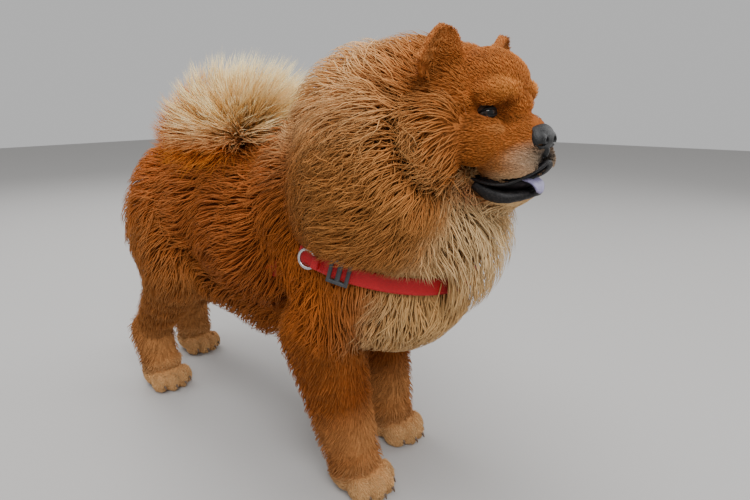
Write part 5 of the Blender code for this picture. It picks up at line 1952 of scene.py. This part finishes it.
@dataclass
class Harness:
    """The red webbing, its rings and its slider."""

    core: BVHTree
    width: float = 0.022
    thickness: float = 0.0026
    ring_radius: float = 0.012
    ring_wire: float = 0.0020
    gap: float = 0.0003
    lift: float = 0.0112
    sunk: float = -0.0065
    fall: float = 0.045
    seen_from: float = 0.055
    slider_half: Triple = (0.0140, 0.0160, 0.0016)
    window_share: Triple = (0.23, 0.68, 0.44)

    def wrap(self, centres: Line, ways: Line, lift: float) -> Line:
        """Points where rays towards the centres first meet the body, drawn smooth.

        Args:
            centres: The middle of the body at each step.
            ways: The way out at each step.
            lift: How far off the body the strap's middle lies.

        Returns:
            The points.
        """
        distances = []
        for c, d in zip(centres, ways):
            hit = self.core.ray_cast(c + d * 0.6, -d)[0]
            distances.append((hit - c).length)
        for _ in range(3):
            padded = [distances[0]] + distances + [distances[-1]]
            distances = [max(d, (padded[i] + d + padded[i + 2]) / 3) for i, d in enumerate(distances)]
        return [c + d * (r + lift) for c, d, r in zip(centres, ways, distances)]

    def girth_path(self) -> tuple[Line, Line]:
        """The strap round the ribs, forward of the belly and behind the elbows.

        Returns:
            The points, and the way out at each.
        """
        steps = 28
        centres, ways = [], []
        for i in range(steps):
            angle = 2 * math.pi * i / steps
            rise = math.sin(angle)
            y = -0.240 + (0.125 * min(1, -1.6 * rise) if rise < 0 else 0.085 * rise)
            centres.append(Vector((0, y, 0.365)))
            ways.append(Vector((math.cos(angle), 0, rise)))
        return self.wrap(centres, ways, self.sunk), ways

    def chest_path(self) -> tuple[Line, Line]:
        """The strap from one side round the chest to the other.

        Returns:
            The points, and the way out at each.
        """
        last = 16
        centres, ways = [], []
        for i in range(last + 1):
            angle = math.pi * (1 + i / last)
            ahead = -math.sin(angle)
            centres.append(Vector((0, -0.262, 0.372 - self.fall * ahead)))
            ways.append(Vector((math.cos(angle), math.sin(angle), 0)))
        return self.wrap(centres, ways, self.lift), ways

    def band(self, name: str, points: Line, ways: Line, closed: bool) -> Object:
        """A band of webbing with round edges along points.

        Args:
            name: The piece's name.
            points: The middle line.
            ways: The way out at each point.
            closed: Whether it is a loop.

        Returns:
            The piece.
        """
        steps = 6
        line = smooth_line(points, steps, closed)
        outs = smooth_line(ways, steps, closed)
        half, thick = self.width / 2, self.thickness / 2
        section = []
        for u in np.linspace(-1, 1, 9):
            section.append((u * half, thick * min(1.0, 3.2 * math.sqrt(max(0.0, 1 - u * u)) + 0.25)))
        outline = section + [(u, -v) for u, v in section[::-1]]
        rings = []
        count = len(line)
        for k, p in enumerate(line):
            ahead_k = (k + 1) % count if closed else min(k + 1, count - 1)
            behind_k = (k - 1) % count if closed else max(k - 1, 0)
            along = (line[ahead_k] - line[behind_k]).normalized()
            out = (outs[k] - along * outs[k].dot(along)).normalized()
            across = along.cross(out)
            rings.append([p + across * u + out * v for u, v in outline])
        return sweep(name, rings, closed)

    def ring(self, name: str, centre: Vector, out: Vector) -> Object:
        """A welded ring lying flat against the body.

        Args:
            name: The piece's name.
            centre: Its middle.
            out: The way out from the body.

        Returns:
            The piece.
        """
        deselect()
        bpy.ops.mesh.primitive_torus_add(major_segments=48, minor_segments=14,
                                         major_radius=self.ring_radius, minor_radius=self.ring_wire)
        obj = bpy.context.object
        obj.name = name
        turn = Vector((0, 0, 1)).rotation_difference(out).to_matrix().to_4x4()
        obj.data.transform(Matrix.Translation(centre) @ turn)
        return obj

    def slab(self, name: str, centre: Vector, along: Vector, out: Vector, sizes: Triple,
             round_by: float) -> Object:
        """A block with its sides along and across a strap, its edges rounded.

        Args:
            name: The object's name.
            centre: Its middle.
            along: The strap's way.
            out: The way out from the body.
            sizes: Half its length, width and thickness.
            round_by: The radius of its edges.

        Returns:
            The object.
        """
        deselect()
        bpy.ops.mesh.primitive_cube_add(size=2.0)
        obj = bpy.context.object
        obj.name = name
        turn = Matrix((along, out.cross(along), out)).transposed().to_4x4()
        obj.data.transform(Matrix.Diagonal((*sizes, 1)))
        bevel = obj.modifiers.new("edges", "BEVEL")
        bevel.width = round_by
        bevel.segments = 3
        apply_all(obj)
        obj.data.transform(Matrix.Translation(centre) @ turn)
        return obj

    def fit_ring(self, word: str, points: Line, ways: Line, step: int, slide: float,
                 webbing: Material, metal: Material, thread: Material) -> None:
        """Lay a ring on a strap with the fold of webbing that holds it.

        Args:
            word: The ring's node.
            points: The strap's middle line.
            ways: The way out at each point.
            step: The point that carries the ring.
            slide: How far along the strap the ring lies.
            webbing: The strap's material.
            metal: The ring's material.
            thread: The stitches' material.
        """
        along = (points[step + 1] - points[step - 1]).normalized()
        out = (ways[step] - along * ways[step].dot(along)).normalized()
        surface = points[step] + out * self.thickness / 2 + along * slide
        centre = surface + out * (self.ring_wire + self.gap)
        finish_piece(self.ring(f"{word}_wire", centre, out), metal, "ring_metal", word)
        middle = points[step] + along * (slide + self.ring_radius) + out * 0.0028
        fold = self.slab(f"{word}_fold", middle, along, out, (0.0052, 0.40 * self.width, 0.0040), 0.0022)
        name_weave_map(fold)
        finish_piece(fold, webbing, "webbing")
        stitches = []
        across = out.cross(along)
        for row in (0.0086, 0.0110):
            for k in range(7):
                place = middle + along * row + across * (k - 3) * 0.0026 - out * 0.0008
                stitches.append(self.slab("stitch", place, across, out, (0.0009, 0.00028, 0.00030), 0.0002))
        finish_piece(join(stitches, f"{word}_stitches"), thread, "webbing")

    def build_slider(self, points: Line, ways: Line, plastic: Material,
                     webbing: Material) -> None:
        """The three-bar slider on the near side of the chest strap, and the web over its bar.

        Args:
            points: The strap's middle line.
            ways: The way out at each point.
            plastic: The slider's material.
            webbing: The strap's material.
        """
        along = (points[3] - points[1]).normalized()
        out = (ways[2] - along * ways[2].dot(along)).normalized()
        half_long, half_wide, half_thick = self.slider_half
        window_long, window_wide, window_off = self.window_share
        centre = points[2] + out * (self.thickness / 2 + 2 * self.gap + half_thick)
        body = self.slab("slider_plate", centre, along, out, self.slider_half, 0.0011)
        sizes = (window_long * half_long, window_wide * half_wide, 0.005)
        windows = []
        for way in (-1, 1):
            middle = centre + along * way * window_off * half_long
            windows.append(self.slab("window", middle, along, out, sizes, 0.0012))
        cut(body, windows)
        finish_piece(body, plastic, "slider_plastic", "slider")
        web = self.slab("slider_web", points[2] + out * 0.0022, along, out,
                        (0.0030, 0.70 * half_wide, 0.0012), 0.0008)
        name_weave_map(web)
        finish_piece(web, webbing, "webbing")

    def build(self, webbing: WebbingFinish, metal: HardFinish, plastic: HardFinish, thread: HardFinish,
              effects: Effects) -> Array:
        """Build the harness.

        Args:
            webbing: The look of the straps.
            metal: The look of the rings.
            plastic: The look of the slider.
            thread: The look of the stitches.
            effects: The shared node groups.

        Returns:
            Points along the part of the chest strap that shows, each with the way out from the body.
        """
        cloth, steel = webbing.make(), metal.make(effects)
        yarn, moulded = thread.make(effects), plastic.make(effects)
        girth, girth_ways = self.girth_path()
        chest, chest_ways = self.chest_path()
        finish_piece(self.band("girth_webbing", girth, girth_ways, True), cloth, "webbing", "girth_strap")
        finish_piece(self.band("chest_webbing", chest, chest_ways, False), cloth, "webbing", "chest_strap")
        self.fit_ring("ring_right", chest, chest_ways, 1, -0.014, cloth, steel, yarn)
        self.fit_ring("ring_left", chest[::-1], chest_ways[::-1], 1, -0.014, cloth, steel, yarn)
        self.fit_ring("lead_ring", girth, girth_ways, 7, -0.012, cloth, steel, yarn)
        self.build_slider(chest, chest_ways, moulded, cloth)
        line, outs = np.array(smooth_line(chest, 6)), np.array(smooth_line(chest_ways, 6))
        seen = np.abs(line[:, 0]) > self.seen_from
        return np.hstack([line, outs])[seen]


@dataclass
class Claws:
    """Short blunt claws that show at the ends of the toes."""

    finish: HardFinish
    radii: Triple = (0.0026, 0.0021, 0.0006)

    def build(self, effects: Effects) -> None:
        """Build all sixteen claws.

        Args:
            effects: The shared node groups.
        """
        claws = []
        for leg in LEGS:
            for across, reach in leg.toes():
                root = Vector((leg.paw_x + across, leg.paw_y - reach - 0.012, 0.0165))
                bend, end = Vector((0, -0.008, -0.0015)), Vector((0, -0.012, -0.0070))
                line = smooth_line([root, root + bend, root + end], 4)
                sizes = np.interp(np.linspace(0, 2, len(line)), range(3), self.radii)
                claws.append(rod("claw", line, list(sizes), list(sizes * 1.1), 8))
        finish_piece(join(claws, "claws"), self.finish.make(effects), "nose")


@dataclass(frozen=True)
class Lamp:
    """A soft square lamp that shines at the middle of the dog."""

    name: str
    place: Triple
    power: float
    size: float


LAMPS = (Lamp("key", (-1.6, -2.0, 2.4), 66, 1.6), Lamp("fill", (2.2, -1.4, 1.6), 24, 2.0),
         Lamp("rim", (0.6, 2.4, 2.2), 38, 1.6), Lamp("top", (-0.3, 0.0, 2.9), 62, 2.4))


@dataclass
class Studio:
    """The floor, the soft light and the camera."""

    floor: Triple = (0.44, 0.43, 0.42)
    sky: Triple = (0.90, 0.90, 0.90)
    sky_strength: float = 0.62
    lit: Triple = (0, 0, 0.35)
    lens: float = 26.88
    place: Triple = (-0.621, -0.750, 0.555)
    heading: tuple[float, float] = (0.788, 0.616)
    pitch: float = 15.0

    def build_floor(self) -> None:
        """A plain pale floor."""
        deselect()
        bpy.ops.mesh.primitive_plane_add(size=14.0, location=(0, 0, 0))
        floor = bpy.context.object
        floor.name = "studio_floor"
        material, _, surface = Finish.start("floor")
        fill(surface, {"Base Color": (*self.floor, 1), "Roughness": 0.9})
        floor.data.materials.append(material)

    def build_light(self) -> None:
        """A pale sky and four soft lamps."""
        world = bpy.data.worlds.new("studio")
        world.use_nodes = True
        fill(world.node_tree.nodes["Background"],
             {"Color": (*self.sky, 1), "Strength": self.sky_strength})
        bpy.context.scene.world = world
        for lamp in LAMPS:
            light = bpy.data.lights.new(lamp.name, "AREA")
            light.energy = lamp.power
            light.size = lamp.size
            obj = bpy.data.objects.new(lamp.name, light)
            bpy.context.scene.collection.objects.link(obj)
            obj.location = lamp.place
            obj.rotation_mode = "QUATERNION"
            way = Vector(self.lit) - Vector(lamp.place)
            obj.rotation_quaternion = way.to_track_quat("-Z", "Y")

    def build_camera(self) -> None:
        """The camera, low at the dog's right shoulder."""
        camera = bpy.data.cameras.new("camera")
        camera.lens = self.lens
        camera.sensor_width = 36.0
        camera.clip_start = 0.01
        obj = bpy.data.objects.new("camera", camera)
        bpy.context.scene.collection.objects.link(obj)
        drop = math.radians(self.pitch)
        x, y = self.heading
        ahead = Vector((x * math.cos(drop), y * math.cos(drop), -math.sin(drop)))
        obj.location = Vector(self.place) + FRAME_SHIFT
        obj.rotation_mode = "QUATERNION"
        obj.rotation_quaternion = ahead.to_track_quat("-Z", "Y")
        bpy.context.scene.camera = obj


FUR = FurFinish("coat_hair", 0.72, 260.0, 0.08, 0.0)
SKIN = FurFinish("skin", 0.85, 420.0, 0.22, 0.6)
NOSE_LEATHER = WetFinish("nose_leather", (0.004, 0.004, 0.004), (0.010, 0.010, 0.011), 0.38, 0.40,
                         900.0, 0.45, True)
LIP = WetFinish("lip", (0.004, 0.0035, 0.004), (0.022, 0.018, 0.017), 0.48, 0.30, 1100.0, 0.40, False)
RIM = WetFinish("eye_rim", (0.004, 0.003, 0.003), (0.010, 0.007, 0.006), 0.55, 0.25, 500.0, 0.25, False)
LINING = WetFinish("mouth_lining", (0.006, 0.005, 0.005), (0.016, 0.010, 0.012), 0.55, 0.20,
                   300.0, 0.30, False)
TONGUE = WetFinish("tongue", tone(146, 140, 172), tone(126, 120, 154), 0.40, 0.40, 520.0, 0.40, True)
IRIS = EyeFinish("eyeball", (0.030, 0.012, 0.005), (0.060, 0.045, 0.035))
WEBBING = WebbingFinish("webbing", tone(206, 6, 22), tone(120, 2, 10), 0.0018)
STEEL = HardFinish("ring_steel", (0.56, 0.56, 0.57), 0.24, 1.0, 700.0)
MOULDED = HardFinish("slider_plastic", tone(58, 60, 64), 0.45, 0.0, 900.0)
THREAD = HardFinish("stitch_thread", tone(170, 14, 26), 0.70, 0.0, 2000.0)
HORN = HardFinish("claw_horn", tone(96, 74, 56), 0.40, 0.0, 800.0)


def main() -> None:
    """Build the dog, its harness and the studio."""
    logging.basicConfig(level=logging.INFO, format="%(message)s")
    studio = Studio()
    studio.build_camera()
    studio.build_floor()
    studio.build_light()
    effects = Effects()
    face = Face()
    body = Body(face)
    core = body.core()
    harness = Harness(tree_of(core))
    bpy.data.objects.remove(core)
    strap = harness.build(WEBBING, STEEL, MOULDED, THREAD, effects)

    skin = body.build_skin()
    Coat(body, face.bare_places(), strap).build(skin, FUR, effects)
    body.finish_skin(skin, SKIN, effects)

    face.build_eyes(IRIS, RIM)
    face.build_nose(NOSE_LEATHER)
    face.build_lips(LIP)
    face.build_mouth(LINING)
    face.build_tongue(TONGUE)
    Claws(HORN).build(effects)


if __name__ == "__main__":
    main()
